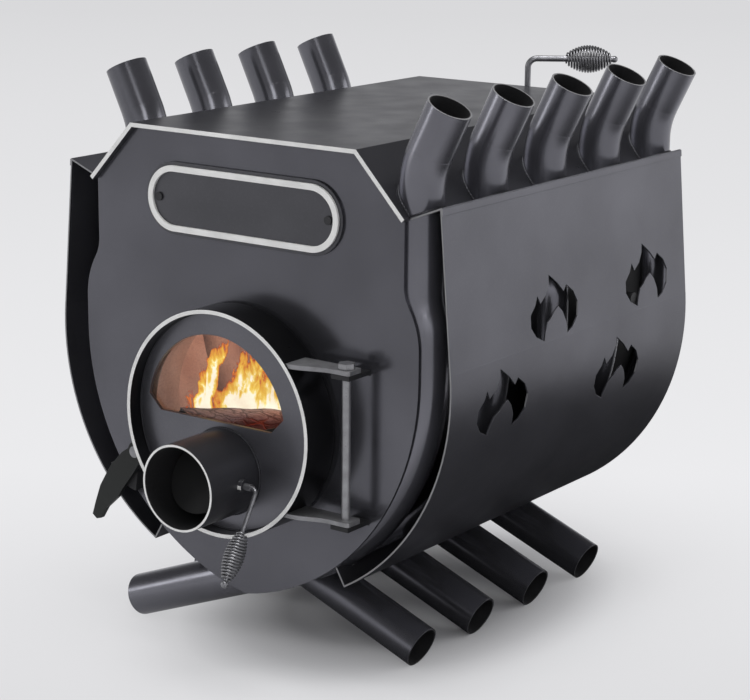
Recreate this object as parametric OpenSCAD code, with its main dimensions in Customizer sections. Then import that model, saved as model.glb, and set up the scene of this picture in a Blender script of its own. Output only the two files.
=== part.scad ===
// Convection wood stove: a barrel firebox walled by nine bent air tubes, inside two sheet casings.
// X runs right as seen from the door, Y runs to the rear and Z runs up from the floor.

/* [Tubes] */
// Outside diameter of an air tube
tube_d = 51; // [47:0.5:55]
// Wall of an air tube
tube_wall = 3; // [2:0.25:4]
// Spacing of the tubes along one side
tube_pitch = 125; // [116:1:135]
// Radius of a tube's sweep round the barrel
sweep_r = 263.2; // [256:0.2:270]
// Distance of the sweep's centre past the middle plane
sweep_offset = 32; // [28:0.5:36]
// Height of the sweep's centre above the floor
sweep_z = 367; // [360:1:378]
// Slope of a tube's leg
leg_angle = 21.3; // [20:0.1:23]
// Upright run above the sweep
belly_straight = 45.5; // [40:0.5:50]
// Radius of the two waist bends
waist_r = 68.5; // [64:0.5:74]
// Angle of each waist bend
waist_angle = 19.2; // [17:0.2:21]
// Upright run above the waist
neck_straight = 113; // [108:0.5:118]
// Radius of the outlet bend
outlet_r = 98; // [90:1:106]
// Angle of the outlet bend
outlet_angle = 26; // [24:0.5:28]
// Straight run from the outlet bend to the mouth
outlet_straight = 55; // [48:1:62]

/* [Firebox] */
// Thickness of the front and rear plates
plate_t = 4; // [3:0.5:6]
// Radius of the lower arcs of these end plates
end_r = 297.5; // [290:0.5:305]
// Distance of those arcs' centres past the middle plane
end_offset = 56; // [50:1:62]
// Upright side of the end plates above those arcs
end_straight = 33.5; // [28:0.5:40]
// Radius of the end plates' outward bend below the waist
end_bulge_r = 94; // [86:1:102]
// Radius of the end plates' inward bend at the waist
end_waist_r = 43; // [38:1:48]
// Angle of those two bends
end_waist_angle = 30.6; // [28:0.2:32]
// Thickness of the wall strips between the tubes
strip_t = 4; // [3:0.5:5]
// Thickness of the hood's sheets
hood_t = 5; // [4:0.5:6]
// Width of the cooking plate
cook_w = 323; // [310:1:336]
// Height of the cooking plate above the shoulder
hood_rise = 69; // [64:1:74]
// Height of the shoulder above the end plates' waist
shoulder_rise = 74.2; // [70:0.2:78]
// Distance of the shoulder outside the end plates' neck
shoulder_reach = 5.1; // [4:0.1:6]
// Overhang of the hood in front of the front plate
front_overhang = 8; // [7.6:0.2:12]
// Overhang of the hood behind the rear plate
rear_overhang = 17.6; // [10:0.2:24]
// Height of the baffle's rails below the waist's upper bend
baffle_drop = 26.6; // [24:0.2:30]
// Distance of the baffle behind the front plate
baffle_setback = 108; // [90:1:130]
// Thickness of the baffle plate
baffle_t = 4; // [3:0.5:6]
// Width of a baffle rail
rail_w = 20; // [15:1:25]
// Height of a baffle rail
rail_h = 6; // [5:0.5:8]
// Height of the ash sill's edge above the barrel's bottom
sill_rise = 57; // [50:1:64]
// Thickness of the ash sill
sill_t = 4; // [3:0.5:5]

/* [Casing] */
// Thickness of the casing sheet
casing_t = 2; // [1.5:0.25:2.5]
// Air gap between the tubes and the casing at their widest
casing_gap = 24.3; // [21:0.1:28]
// Depth of the casing's centre below the sweep's centre
casing_drop = 9; // [6:0.5:12]
// Angle from upright at which the casing's lower edge stops
casing_start = 30; // [28:0.5:33]
// Inward lean of the casing's upper wall
casing_lean = 5; // [4:0.25:6]
// Height of the leaning wall along its slope
casing_wall = 180; // [174:1:184]
// Setback of the casing behind the front plate's face
casing_setback = 2.6; // [1:0.2:6]
// Distance from the rear plate forward to the casing's rear edge
casing_rear_gap = 25.1; // [16:0.5:40]
// Height of the folded hem along the casing's upper edge
hem_h = 8; // [6:0.5:10]
// Thickness of that hem outside the sheet
hem_t = 1.2; // [1:0.1:2]
// Diameter of a casing spacer
spacer_d = 16; // [12:1:20]
// Width of a flame cut-out
flame_w = 103; // [90:1:108]
// Height of a flame cut-out
flame_h = 74; // [64:1:80]

/* [Door] */
// Depth of the door's centre below the sweep's centre
door_drop = 75; // [70:1:80]
// Outside diameter of the door collar
collar_d = 244; // [236:1:248]
// Wall of the door collar
collar_t = 4; // [3:0.5:5]
// Reach of the collar in front of the front plate
collar_reach = 14; // [13.4:0.2:16]
// Reach of the collar behind the front plate
collar_tail = 18; // [12:1:24]
// Gap between the collar and the door ring
ring_gap = 5.8; // [5.4:0.1:7]
// Wall of the door ring
ring_t = 4.6; // [4:0.2:6]
// Length of the door ring
ring_length = 47.8; // [46:0.2:54]
// Clearance of the door ring in front of the front plate
ring_clear = 6; // [5:0.2:6.6]
// Depth of the door plate inside the ring
door_recess = 18.8; // [17:0.2:20]
// Thickness of the door plate
door_plate_t = 4; // [3.6:0.2:4.4]
// Least width of the door plate between the window and the ring
window_rim = 12.3; // [11:0.1:16]
// Offset of the window's centre to the left
window_offset = 15; // [12:0.5:16]
// Depth of the window's lower edge below the door's centre
window_drop = 2; // [0:0.5:3]
// Size of the window's cut lower corners
window_corner = 19; // [14:1:24]
// Lap of the glass behind the window's edge
glass_lap = 7.5; // [6:0.5:7.5]
// Thickness of the glass
glass_t = 4; // [3.5:0.25:4.25]
// Thickness of the glass tape
tape_t = 1; // [0.8:0.1:1.2]
// Inside diameter of the gasket channel
channel_d = 224; // [220:1:226]
// Thickness of the channel's sheet
channel_t = 2; // [1.5:0.1:2.2]
// Height of the channel's inner lip
channel_lip = 10; // [8:0.5:10.5]
// Thickness of the glass clips
clip_t = 2; // [1.5:0.1:2.5]
// Width of the glass clips
clip_w = 14; // [11:0.5:16]
// Diameter of the glass screws
glass_screw_d = 4; // [3:0.1:4.4]

/* [Air pipe] */
// Depth of the air pipe below the door's centre
pipe_drop = 58.6; // [57.6:0.1:61]
// Outside diameter of the air pipe
pipe_d = 100.4; // [97:0.2:101]
// Wall of the air pipe
pipe_wall = 3.2; // [2.6:0.2:4]
// Length of the air pipe in front of the door plate
pipe_length = 84.4; // [80:0.2:90]
// Diameter of the air hole in the door plate
air_hole_d = 90; // [80:1:93]
// Depth of the throttle's axle behind the pipe's mouth
axle_setback = 52.2; // [51:0.2:56]
// Diameter of the throttle's axle
axle_d = 8; // [7:0.2:9]
// Reach of the axle to the right of the pipe's centre
axle_reach = 72; // [70:0.5:76]
// Gap between the throttle disc's rim and the pipe
throttle_gap = 2; // [1.6:0.1:3]
// Thickness of the throttle and damper discs
disc_t = 3; // [2:0.25:3.5]
// Tilt of the hanging handle towards the front
throttle_tilt = 31; // [28:1:34]
// Diameter of the throttle handle's rod
handle_d = 5; // [4:0.2:6]
// Bare length of the throttle handle
handle_stem = 50; // [46:0.5:54]
// Height of the air deflector behind the door plate
deflector_depth = 38; // [34:0.5:42]
// Thickness of the air deflector
deflector_t = 2; // [1.5:0.25:3]

/* [Grips] */
// Diameter of the spring wire
wire_d = 2.8; // [2.4:0.1:3.2]
// Length of the throttle's grip
throttle_grip_l = 57; // [54:0.5:62]
// Widest diameter of the throttle's grip
throttle_grip_d = 24; // [21:0.5:26]
// Turns of the throttle's grip
throttle_turns = 12; // [10:1:13]
// Length of the damper's grip
damper_grip_l = 61; // [58:0.5:66]
// Widest diameter of the damper's grip
damper_grip_d = 37; // [33:0.5:40]
// Turns of the damper's grip
damper_turns = 14; // [12:1:15]

/* [Hinge] */
// Distance of the hinge pin to the right of the middle
pin_x = 166; // [163:0.5:170]
// Distance of the hinge pin in front of the front plate
pin_reach = 28; // [27:0.5:32]
// Diameter of the hinge pin
bolt_d = 10; // [9:0.25:12]
// Width across the flats of the hinge pin's head
hex_af = 17; // [16:0.5:20]
// Thickness of the hinge arms and lugs
hinge_t = 5; // [4:0.25:6]
// Width of the hinge arms and lugs
hinge_w = 24; // [22:0.5:26]
// Height of the upper hinge arm above the door's centre
arm_up = 82; // [78:0.5:86]
// Depth of the lower hinge arm below the door's centre
arm_down = 90; // [86:0.5:92]

/* [Latch] */
// Distance of the latch's pivot left of the middle
latch_x = 141; // [140:0.5:146]
// Depth of the latch's pivot below the door's centre
latch_drop = 62; // [60:0.5:66]
// Thickness of the latch handle
latch_t = 6; // [5:0.25:6]
// Diameter of the latch's pivot
latch_pin_d = 8; // [7:0.2:10]
// Distance of the catch stud from the pivot
stud_reach = 40; // [39:0.5:42]
// Diameter of the catch stud
stud_d = 10; // [9:0.25:11]
// Thickness of the keeper's fork
keeper_t = 6; // [5:0.25:6]

/* [Nameplate] */
// Length of the nameplate
name_l = 282; // [270:1:290]
// Height of the nameplate
name_h = 84.5; // [78:0.5:88]
// Height of the nameplate's centre above the shoulder
name_lift = -13.2; // [-18:0.1:-8]
// Thickness of the nameplate's backing
name_t = 3; // [2:0.2:3.6]
// Inset of the raised rim from the backing's edge
rim_inset = 4; // [3:0.5:6]
// Width of the raised rim
rim_w = 7; // [5:0.5:9]
// Height of the raised rim
rim_t = 3; // [2:0.2:3.6]

/* [Flue] */
// Outside diameter of the flue outlet
flue_d = 120; // [115:0.5:123]
// Wall of the flue outlet
flue_wall = 2; // [1.5:0.25:3]
// Height of the flue outlet's centre above the sweep's centre
flue_lift = 134; // [128:1:140]
// Length of the flue outlet behind the rear plate
flue_length = 97.6; // [94:0.2:110]
// Length of the reduced spigot at its end
spigot_l = 47; // [40:1:50]
// Step of the spigot below the outlet's radius
spigot_step = 1; // [0.6:0.1:1.5]
// Distance of the damper's rod behind the rear plate
damper_setback = 36.6; // [34:0.2:40]
// Diameter of the damper's rod
damper_rod_d = 8; // [7:0.2:9]
// Height of the damper's arm above the cooking plate
damper_rise = 34; // [30:0.5:40]
// Bare length of the damper's arm
damper_stem = 49; // [46:0.5:54]
// Turn of the damper's arm towards the rear
damper_turn = 35; // [30:1:40]
// Gap between the damper disc's rim and the outlet
damper_gap = 2; // [1.6:0.1:3]

/* [Fits] */
// Gap left at each weld
weld_gap = 0.2; // [0.1:0.05:0.3]
// Radial clearance of a turning pin
pin_gap = 0.05; // [0.03:0.01:0.09]
// Gap between pieces that rest on each other and move apart
seat_gap = 0.3; // [0.25:0.05:0.4]

/* [Hidden] */
$fn = 64;

// Colours of the finishes
paint = "#55555b";
dark_paint = "#3a3a3f";
bare_steel = "#9a9a9d";
bright_steel = "#d8d8d8";

// A sloping run is a step slimmer than its bends and starts a little inside them
joint_step = 0.1;
joint_l = 1;
waist_straight = 3;

// Tube centreline, as points and centres in the XZ plane of a right-hand tube
tube_r = tube_d / 2;
right_tubes = 5;
belly_x = sweep_r - sweep_offset;
sweep_c = [-sweep_offset, sweep_z];
leg_top = sweep_c + polar(sweep_r, leg_angle - 90);
leg_l = (leg_top[1] - (tube_r - joint_step) * cos(leg_angle)) / sin(leg_angle);
leg_foot = leg_top - polar(leg_l, leg_angle);
belly_top = [belly_x, sweep_z + belly_straight];
waist_c1 = belly_top - [waist_r, 0];
waist_p1 = waist_c1 + polar(waist_r, waist_angle);
waist_p2 = waist_p1 + polar(waist_straight, 90 + waist_angle);
waist_c2 = waist_p2 + polar(waist_r, waist_angle);
neck_bottom = waist_c2 - [waist_r, 0];
neck_top = neck_bottom + [0, neck_straight];
outlet_c = neck_top + [outlet_r, 0];
outlet_start = outlet_c + polar(outlet_r, 180 - outlet_angle);
mouth = outlet_start + polar(outlet_straight, 90 - outlet_angle);

// Outline of the end plates, as centres and points of its right half
end_c = [-end_offset, sweep_z];
bulge_c = [end_r - end_offset - end_bulge_r, sweep_z + end_straight];
bulge_end = bulge_c + polar(end_bulge_r, end_waist_angle);
end_waist_c = bulge_end + polar(waist_straight, 90 + end_waist_angle) + polar(end_waist_r, end_waist_angle);
end_neck_x = end_waist_c[0] - end_waist_r;

// Hood's section
shoulder = [end_neck_x + shoulder_reach, end_waist_c[1] + shoulder_rise];
cook_corner = [cook_w / 2, shoulder[1] + hood_rise];
chamfer_v = shoulder - cook_corner;
chamfer_n = [-chamfer_v[1], chamfer_v[0]] / norm(chamfer_v);
hood_inner = cook_corner - hood_t * [chamfer_n[0], chamfer_n[1] + 1] / (1 + chamfer_n[1]);
shoulder_inner = shoulder - hood_t * chamfer_n;

// Stations along the stove, from the hood's front edge
front_y = front_overhang;
front_back_y = front_y + plate_t;
tube_1_y = front_back_y + weld_gap + tube_r;
rear_y = right_y(right_tubes) + tube_r + weld_gap;
rear_back_y = rear_y + plate_t;
hood_l = rear_back_y + rear_overhang;
casing_y0 = front_y + casing_setback;
casing_y1 = rear_y - casing_rear_gap;

// Baffle's height, and its length from its front edge to the rear plate
baffle_z = neck_bottom[1] - baffle_drop;
baffle_y0 = front_back_y + baffle_setback;
baffle_l = rear_y - weld_gap - baffle_y0;

// Casing's section
casing_r = belly_x + tube_r + casing_gap + casing_t;
casing_c = [0, sweep_z - casing_drop];
casing_mid_r = casing_r - casing_t / 2;
casing_a0 = casing_start - 90;
casing_low = casing_c + polar(casing_mid_r, casing_a0);
casing_bend = casing_c + polar(casing_mid_r, casing_lean);
casing_top = casing_bend + polar(casing_wall, 90 + casing_lean);

// Flame cut-outs: distance behind the casing's front edge as a share of its length,
// and height of the base over the sweep's centre as a share of the sweep's radius
flame_places = [[0.201, -0.266], [0.407, 0.065], [0.688, -0.312], [0.815, 0.076]];
flame_points = [[-24, 0], [-41, 8], [-51, 20], [-51, 34], [-40, 44], [-35, 54], [-29, 44], [-17, 52],
    [-10, 63], [-9, 74], [9, 62], [22, 50], [28, 57], [43, 47], [52, 33], [50, 17], [39, 6], [26, 1],
    [25, 14], [18, 27], [9, 35], [1, 31], [-6, 25], [-16, 20], [-21, 10]];
flame_base = [103, 74];
flame_depth = 50;

// Door
door_z = sweep_z - door_drop;
collar_r = collar_d / 2;
collar_y0 = front_y - collar_reach;
ring_inner = collar_r + ring_gap;
ring_r = ring_inner + ring_t;
ring_y1 = front_y - ring_clear;
ring_y0 = ring_y1 - ring_length;
door_y0 = ring_y0 + door_recess;
door_y1 = door_y0 + door_plate_t;
window_r = ring_inner - window_offset - window_rim;
window_z = door_z - window_drop;
glass_r = window_r + glass_lap;
glass_y0 = door_y1 + tape_t;
glass_y1 = glass_y0 + glass_t;
channel_y0 = glass_y1 + 1;
channel_r = channel_d / 2;
gasket_gap = 0.2;
clip_turns = [58, 108, -127];
clip_boss_r = 5;
clip_clear = 2.5;
clip_l = 22;
clip_low = -window_drop - glass_lap - clip_boss_r - clip_clear;
clip_places = [[-0.62 * window_r - window_offset, clip_low], [0.77 * window_r - window_offset, clip_low],
    [-window_offset, -window_drop] + polar(glass_r + clip_boss_r + clip_clear, clip_turns[2] + 180)];

// Air pipe and throttle
pipe_r = pipe_d / 2;
pipe_z = door_z - pipe_drop;
pipe_y0 = door_y0 - pipe_length;
axle_y = pipe_y0 + axle_setback;
boss_r = axle_d / 2 + 4;
boss_l = 5;
disc_offset = disc_t / 2 + weld_gap;
throttle_disc_r = pipe_r - pipe_wall - throttle_gap;
elbow_r = 7;
end_ball_r = 4.5;
end_stem = 4;
throttle_l = handle_stem + throttle_grip_l + end_stem;
deflector_w = 52;

// Spring grips
coil_gap = 0.3;
rings_per_turn = 8;
wire_sides = 6;
throttle_coil = coil_points(throttle_grip_l, throttle_grip_d, handle_d, throttle_turns);
damper_coil = coil_points(damper_grip_l, damper_grip_d, damper_rod_d, damper_turns);

// Hinge
pin_y = front_y - pin_reach;
bolt_r = bolt_d / 2;
upper_arm_z = door_z + arm_up;
lower_arm_z = door_z - arm_down;
head_h = 6.2;
hinge_slack = 0.5;
arm_root = 24;
arm_corner = 2;

// Latch
latch_p = [-latch_x, door_z - latch_drop];
latch_y0 = pin_y - 3;
latch_y1 = latch_y0 + latch_t;
latch_pin_r = latch_pin_d / 2;
stud_angle = 234;
stud_r = stud_d / 2;
stud_head_r = 9;
stud_head_t = 4;
keeper_y0 = latch_y1 + 1;
keeper_y1 = keeper_y0 + keeper_t;
keeper_slot = stud_r + 0.5;
keeper_rim = 6.5;
keeper_open = 207;
keeper_end = 262;
keeper_leg = 250;
blade = [[-6, 6], [-22, -4.5], [-41, -25], [-50.5, -40], [-58, -52.4], [-66, -74], [-71.6, -91.2],
    [-65, -96], [-58, -94], [-48.6, -79], [-29.4, -61.5], [-22, -50], [-5.8, -29], [6, -12]];

// Nameplate
name_z = shoulder[1] + name_lift;
name_y1 = front_y - weld_gap;
name_y0 = name_y1 - name_t;
name_screw_r = 2.5;
name_screw_x = name_l / 2 - rim_inset - rim_w - 8;

// Flue and damper
flue_r = flue_d / 2;
flue_z = sweep_z + flue_lift;
flue_end_y = rear_back_y + flue_length;
damper_y = rear_back_y + damper_setback;
damper_disc_r = flue_r - flue_wall - damper_gap;
damper_z = cook_corner[1] + damper_rise;
damper_bend = 12;
damper_l = damper_stem + damper_grip_l + end_stem;
damper_tail = 5;

// Middle of the stove between its foremost and rearmost points
front_reach = min(pipe_y0, axle_y - throttle_l * sin(throttle_tilt) - end_ball_r,
    min([for (ring = throttle_coil, p = ring)
        axle_y - p[1] * cos(throttle_tilt) - (handle_stem + p[2]) * sin(throttle_tilt)]));
rear_reach = max(flue_end_y, damper_y + damper_l * sin(damper_turn) + end_ball_r,
    max([for (ring = damper_coil, p = ring)
        damper_y + p[1] * cos(damper_turn) + (damper_stem + p[2]) * sin(damper_turn)]));
mid_y = (front_reach + rear_reach) / 2;

// Point at a radius and an angle
function polar(r, a) = [r * cos(a), r * sin(a)];

// Stations of the right-hand and left-hand tubes, counted from the front
function right_y(k) = tube_1_y + (k - 1) * tube_pitch;
function left_y(k) = tube_1_y + (k - 0.5) * tube_pitch;

// Points of an arc in a few equal steps
function arc_points(c, r, a0, a1, steps = 12) =
    [for (i = [0:steps]) c + polar(r, a0 + (a1 - a0) * i / steps)];

// Distance along a ray from a point to a circle round it
function ray_to_circle(p, a, c, r) =
    let (d = p - c, b = d * polar(1, a)) -b + sqrt(b * b - d * d + r * r);

// Inner face of the tubes beside the waist, and of the casing's upper wall
function waist_inner_x(z) = waist_c2[0] - sqrt(pow(waist_r + tube_r, 2) - pow(waist_c2[1] - z, 2));
function casing_inner_x(z) =
    casing_bend[0] - casing_t / 2 / cos(casing_lean) - (z - casing_bend[1]) * tan(casing_lean);

// Centre of the spring wire at a share u of its length, and the rings of points round it
function coil_r(u, wide_r, end_r) = end_r + (wide_r - end_r) * pow(sin(180 * u), 0.8);
function coil_centre(u, l, wide_r, end_r, turns) =
    let (r = coil_r(u, wide_r, end_r), a = 360 * turns * u)
    [r * cos(a), r * sin(a), wire_d / 2 + u * (l - wire_d)];
function coil_centres(l, d, rod_d, turns) =
    let (n = turns * rings_per_turn, wide_r = (d - wire_d) / 2, end_r = (rod_d + wire_d) / 2 + coil_gap)
    [for (i = [0:n]) coil_centre(i / n, l, wide_r, end_r, turns)];
function coil_points(l, d, rod_d, turns) =
    let (c = coil_centres(l, d, rod_d, turns), rise = l / turns / 6.2832)
    [for (i = [0:len(c) - 1])
        let (a = 360 * i / rings_per_turn, r = norm([c[i][0], c[i][1]]),
            out = [cos(a), sin(a), 0], t = [-sin(a) * r, cos(a) * r, rise],
            up = cross(out, t) / norm(t))
        [for (k = [0:wire_sides - 1])
            c[i] + wire_d / 2 * (cos(360 * k / wire_sides) * out + sin(360 * k / wire_sides) * up)]];
function coil_self_gap(c) =
    min([for (i = [0:len(c) - 1], j = [i + rings_per_turn / 2:1:len(c) - 1]) norm(c[i] - c[j])]) - wire_d;

echo(least_gap_throttle_grip = coil_self_gap(coil_centres(throttle_grip_l, throttle_grip_d, handle_d,
    throttle_turns)));
echo(least_gap_damper_grip = coil_self_gap(coil_centres(damper_grip_l, damper_grip_d, damper_rod_d,
    damper_turns)));

// Everything is drawn from the hood's front edge and moved to the stove's middle
module placed() translate([0, -mid_y, 0]) children();

// A flat shape in the XZ plane, given depth from y0 to y1
module along_y(y0, y1) translate([0, y1, 0]) rotate([90, 0, 0]) linear_extrude(y1 - y0) children();

// Round bar or ring along Y
module disc_y(r, y0, y1) along_y(y0, y1) circle(r);
module ring_y(r, inner, y0, y1) along_y(y0, y1) difference() {
    circle(r);
    circle(inner);
}

// Both sides of a piece drawn on the right
module both_sides() {
    children();
    mirror([1, 0, 0]) children();
}

// A section swept straight from p to q in the XZ plane
module run_straight(p, q) {
    v = q - p;
    translate([p[0], 0, p[1]]) rotate([0, atan2(v[0], v[1]), 0]) linear_extrude(norm(v)) children();
}

// A section swept round a centre from its right side (1) or left side (-1), upwards (1) or down (-1)
module run_arc(c, r, side, rise, angle) {
    translate([c[0], 0, c[1]]) rotate([90, 0, 0])
        mirror([side < 0 ? 1 : 0, 0, 0]) mirror([0, rise < 0 ? 1 : 0, 0])
            rotate_extrude(angle = angle) translate([r, 0]) children();
}

// The way that tubes and wall strips take round the barrel, from the leg to the neck:
// the first child is the section of bends and upright runs, the second that of sloping runs
module barrel_way(start, stop) {
    run_straight(start, leg_top + polar(joint_l, leg_angle)) children(1);
    run_arc(sweep_c, sweep_r, 1, -1, 90 - leg_angle) children(0);
    run_straight([belly_x, sweep_z], belly_top) children(0);
    run_arc(waist_c1, waist_r, 1, 1, waist_angle) children(0);
    run_straight(waist_p1 - polar(joint_l, 90 + waist_angle), waist_p2 + polar(joint_l, 90 + waist_angle))
        children(1);
    run_arc(waist_c2, waist_r, -1, -1, waist_angle) children(0);
    run_straight(neck_bottom, stop) children(0);
}

// The way of a tube's outlet, from the neck to the mouth, with the same two children
module outlet_way() {
    run_arc(outlet_c, outlet_r, -1, 1, outlet_angle) children(0);
    run_straight(outlet_start - polar(joint_l, 90 - outlet_angle), mouth) children(1);
}

module tube_section(step) difference() {
    circle(tube_r - step);
    circle(tube_r - tube_wall + step);
}

module air_tube(y) translate([0, y, 0]) {
    barrel_way(leg_foot, neck_top) {
        tube_section(0);
        tube_section(joint_step);
    }
    outlet_way() {
        tube_section(0);
        tube_section(joint_step);
    }
}

// Room for a tube's outlet in the sheets that it passes
module outlet_room(y) translate([0, y, 0]) {
    run_straight(neck_top - [0, neck_straight / 2], neck_top) circle(tube_r + weld_gap);
    outlet_way() {
        circle(tube_r + weld_gap);
        circle(tube_r + weld_gap - joint_step);
    }
}

// Room for a tube's leg in the wall strips of the other side
module leg_room(y) translate([0, y, 0]) run_straight(leg_foot, leg_top) circle(tube_r + weld_gap);

// Wall strip between two stations, down to the middle plane and up under the hood
module wall_strip(y0, y1) {
    inner_z = leg_top[1] - leg_top[0] * tan(leg_angle);
    start = [weld_gap, inner_z + weld_gap * tan(leg_angle)];
    difference() {
        translate([0, (y0 + y1) / 2, 0])
            barrel_way(start - polar(strip_t, leg_angle), [neck_top[0], shoulder_inner[1] - weld_gap]) {
                square([strip_t, y1 - y0 - 2 * weld_gap], center = true);
                square([strip_t - 2 * joint_step, y1 - y0 - 2 * weld_gap], center = true);
            }
        translate([weld_gap - 4 * strip_t, y0, 0]) cube([4 * strip_t, y1 - y0, sweep_z]);
    }
}

module right_tube(k) color(paint) placed() air_tube(right_y(k));
module left_tube(k) color(paint) placed() mirror([1, 0, 0]) air_tube(left_y(k));

module wall_strips_right() color(dark_paint) placed() difference() {
    for (k = [1:right_tubes - 1]) wall_strip(right_y(k) + tube_r, right_y(k + 1) - tube_r);
    for (k = [1:right_tubes - 1]) mirror([1, 0, 0]) leg_room(left_y(k));
}

module wall_strips_left() color(dark_paint) placed() mirror([1, 0, 0]) difference() {
    union() {
        wall_strip(front_back_y, left_y(1) - tube_r);
        for (k = [1:right_tubes - 2]) wall_strip(left_y(k) + tube_r, left_y(k + 1) - tube_r);
        wall_strip(left_y(right_tubes - 1) + tube_r, rear_y);
    }
    for (k = [1:right_tubes]) mirror([1, 0, 0]) leg_room(right_y(k));
}

// Hood
module cooking_plate() color(paint) placed() along_y(0, hood_l) polygon([
    [-cook_corner[0], cook_corner[1]], cook_corner, hood_inner, [-hood_inner[0], hood_inner[1]]]);

module chamfer_plate() along_y(0, hood_l)
    polygon([cook_corner, shoulder, shoulder_inner, hood_inner]);

module chamfer_right() color(paint) placed() difference() {
    chamfer_plate();
    for (k = [1:right_tubes]) outlet_room(right_y(k));
}

module chamfer_left() color(paint) placed() mirror([1, 0, 0]) difference() {
    chamfer_plate();
    for (k = [1:right_tubes - 1]) outlet_room(left_y(k));
}

// Closed outline from the points of its right half, the first of them on the middle plane
module mirrored_outline(half) {
    n = len(half);
    polygon(concat([[0, half[0][1]]], [for (i = [1:n - 1]) half[i]],
        [for (i = [n - 1:-1:1]) [-half[i][0], half[i][1]]]));
}

// Outline of the front and rear plates, near the tubes' middles at the sides
module end_outline() {
    low_a = -acos(end_offset / end_r);
    under = hood_inner + [0, -weld_gap];
    side_z = under[1] + (end_neck_x - under[0]) * chamfer_v[1] / chamfer_v[0];
    mirrored_outline(concat(
        arc_points(end_c, end_r, low_a, 0, 24),
        arc_points(bulge_c, end_bulge_r, 0, end_waist_angle),
        arc_points(end_waist_c, end_waist_r, 180 + end_waist_angle, 180),
        [[end_neck_x, side_z], under]));
}

module front_plate() color(paint) placed() difference() {
    along_y(front_y, front_back_y) end_outline();
    translate([0, 0, door_z]) disc_y(collar_r + weld_gap, front_y - 1, front_back_y + 1);
    both_sides() translate([name_screw_x, 0, name_z])
        disc_y(name_screw_r + pin_gap, front_y - 1, front_back_y + 1);
}

module rear_plate() color(paint) placed() difference() {
    along_y(rear_y, rear_back_y) end_outline();
    translate([0, 0, flue_z]) disc_y(flue_r + weld_gap, rear_y - 1, rear_back_y + 1);
}

// Casing with a leaning upper wall, a flange to the shoulder and a flange to the end plates' edge
module casing_sheet() {
    l = casing_y1 - casing_y0;
    low_s = ray_to_circle(casing_c, casing_a0, end_c, end_r + weld_gap);
    low_z = casing_t / 2;
    outer_top = casing_top + [casing_t / 2, 0];
    translate([0, (casing_y0 + casing_y1) / 2, 0]) {
        run_arc(casing_c, casing_mid_r, 1, -1, -casing_a0) square([casing_t, l], center = true);
        run_arc(casing_c, casing_mid_r, 1, 1, casing_lean) square([casing_t, l], center = true);
        run_straight(casing_bend - polar(joint_l, 90 + casing_lean), casing_top)
            square([casing_t - 2 * joint_step, l], center = true);
        run_straight(casing_c + polar(low_s, casing_a0), casing_c + polar(casing_r, casing_a0))
            translate([-low_z, 0]) square([casing_t, l], center = true);
        run_straight(shoulder + [weld_gap, -low_z], outer_top) square([casing_t, l], center = true);
        run_straight(casing_top - polar(hem_h, 90 + casing_lean), casing_top)
            translate([(casing_t / 2 + hem_t) / 2, 0]) square([casing_t / 2 + hem_t, l], center = true);
    }
}

// Flame of three tongues over an arched foot, drawn with its base at the origin
module flame_outline()
    polygon([for (p = flame_points) [p[0] * flame_w / flame_base[0], p[1] * flame_h / flame_base[1]]]);

module casing_side() difference() {
    casing_sheet();
    for (place = flame_places)
        translate([casing_r + casing_t - flame_depth, casing_y0 + place[0] * (casing_y1 - casing_y0),
            sweep_z + place[1] * sweep_r])
            rotate([90, 0, 90]) linear_extrude(flame_depth) flame_outline();
}

// Room for a tube where it passes the casing's lower flange
module flange_room(y) {
    crossing = casing_c + polar(ray_to_circle(casing_c, casing_a0, sweep_c, sweep_r), casing_a0);
    v = crossing - sweep_c;
    along = [-v[1], v[0]] * tube_r / norm(v);
    translate([0, y, 0]) run_straight(crossing - along, crossing + along) circle(tube_r + weld_gap);
}

module casing_right() color(paint) placed() difference() {
    casing_side();
    for (k = [1:right_tubes]) {
        outlet_room(right_y(k));
        flange_room(right_y(k));
    }
}

module casing_left() color(paint) placed() mirror([1, 0, 0]) difference() {
    casing_side();
    for (k = [1:right_tubes - 1]) {
        outlet_room(left_y(k));
        flange_room(left_y(k));
    }
}

// Spacer from a tube's upright run out to the casing
module casing_spacer(x, y, z) {
    length = casing_inner_x(z + spacer_d / 2) - x - 2 * weld_gap;
    translate([x + weld_gap, y, z]) rotate([0, 90, 0]) cylinder(d = spacer_d, h = length);
}
module spacers_on(y) {
    casing_spacer(belly_x + tube_r, y, sweep_z + belly_straight / 2 + 6);
    casing_spacer(neck_top[0] + tube_r, y, neck_top[1] - neck_straight / 2);
}
module casing_spacers() color(dark_paint) placed() {
    for (k = [2, 4]) spacers_on(right_y(k));
    for (k = [1, 4]) mirror([1, 0, 0]) spacers_on(left_y(k));
}

// Baffle on two rails, and ash sill behind the door
module baffle_plate() color(dark_paint) placed()
    translate([0, baffle_y0, baffle_z + weld_gap]) {
        half = waist_inner_x(baffle_z + weld_gap + baffle_t) - weld_gap;
        translate([-half, 0, 0]) cube([2 * half, baffle_l, baffle_t]);
    }
module baffle_rails() color(dark_paint) placed() both_sides() {
    outer = waist_inner_x(baffle_z) - weld_gap;
    translate([outer - rail_w, baffle_y0, baffle_z - rail_h]) cube([rail_w, baffle_l, rail_h]);
}
module ash_sill() color(dark_paint) placed() {
    y0 = right_y(1) + tube_r + strip_t;
    inner = sweep_r - strip_t / 2 - weld_gap;
    low_a = -acos(sweep_offset / inner);
    top_a = -asin(-sin(low_a) - sill_rise / inner);
    along_y(y0, y0 + sill_t) mirrored_outline(arc_points(sweep_c, inner, low_a, top_a));
}

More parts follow.
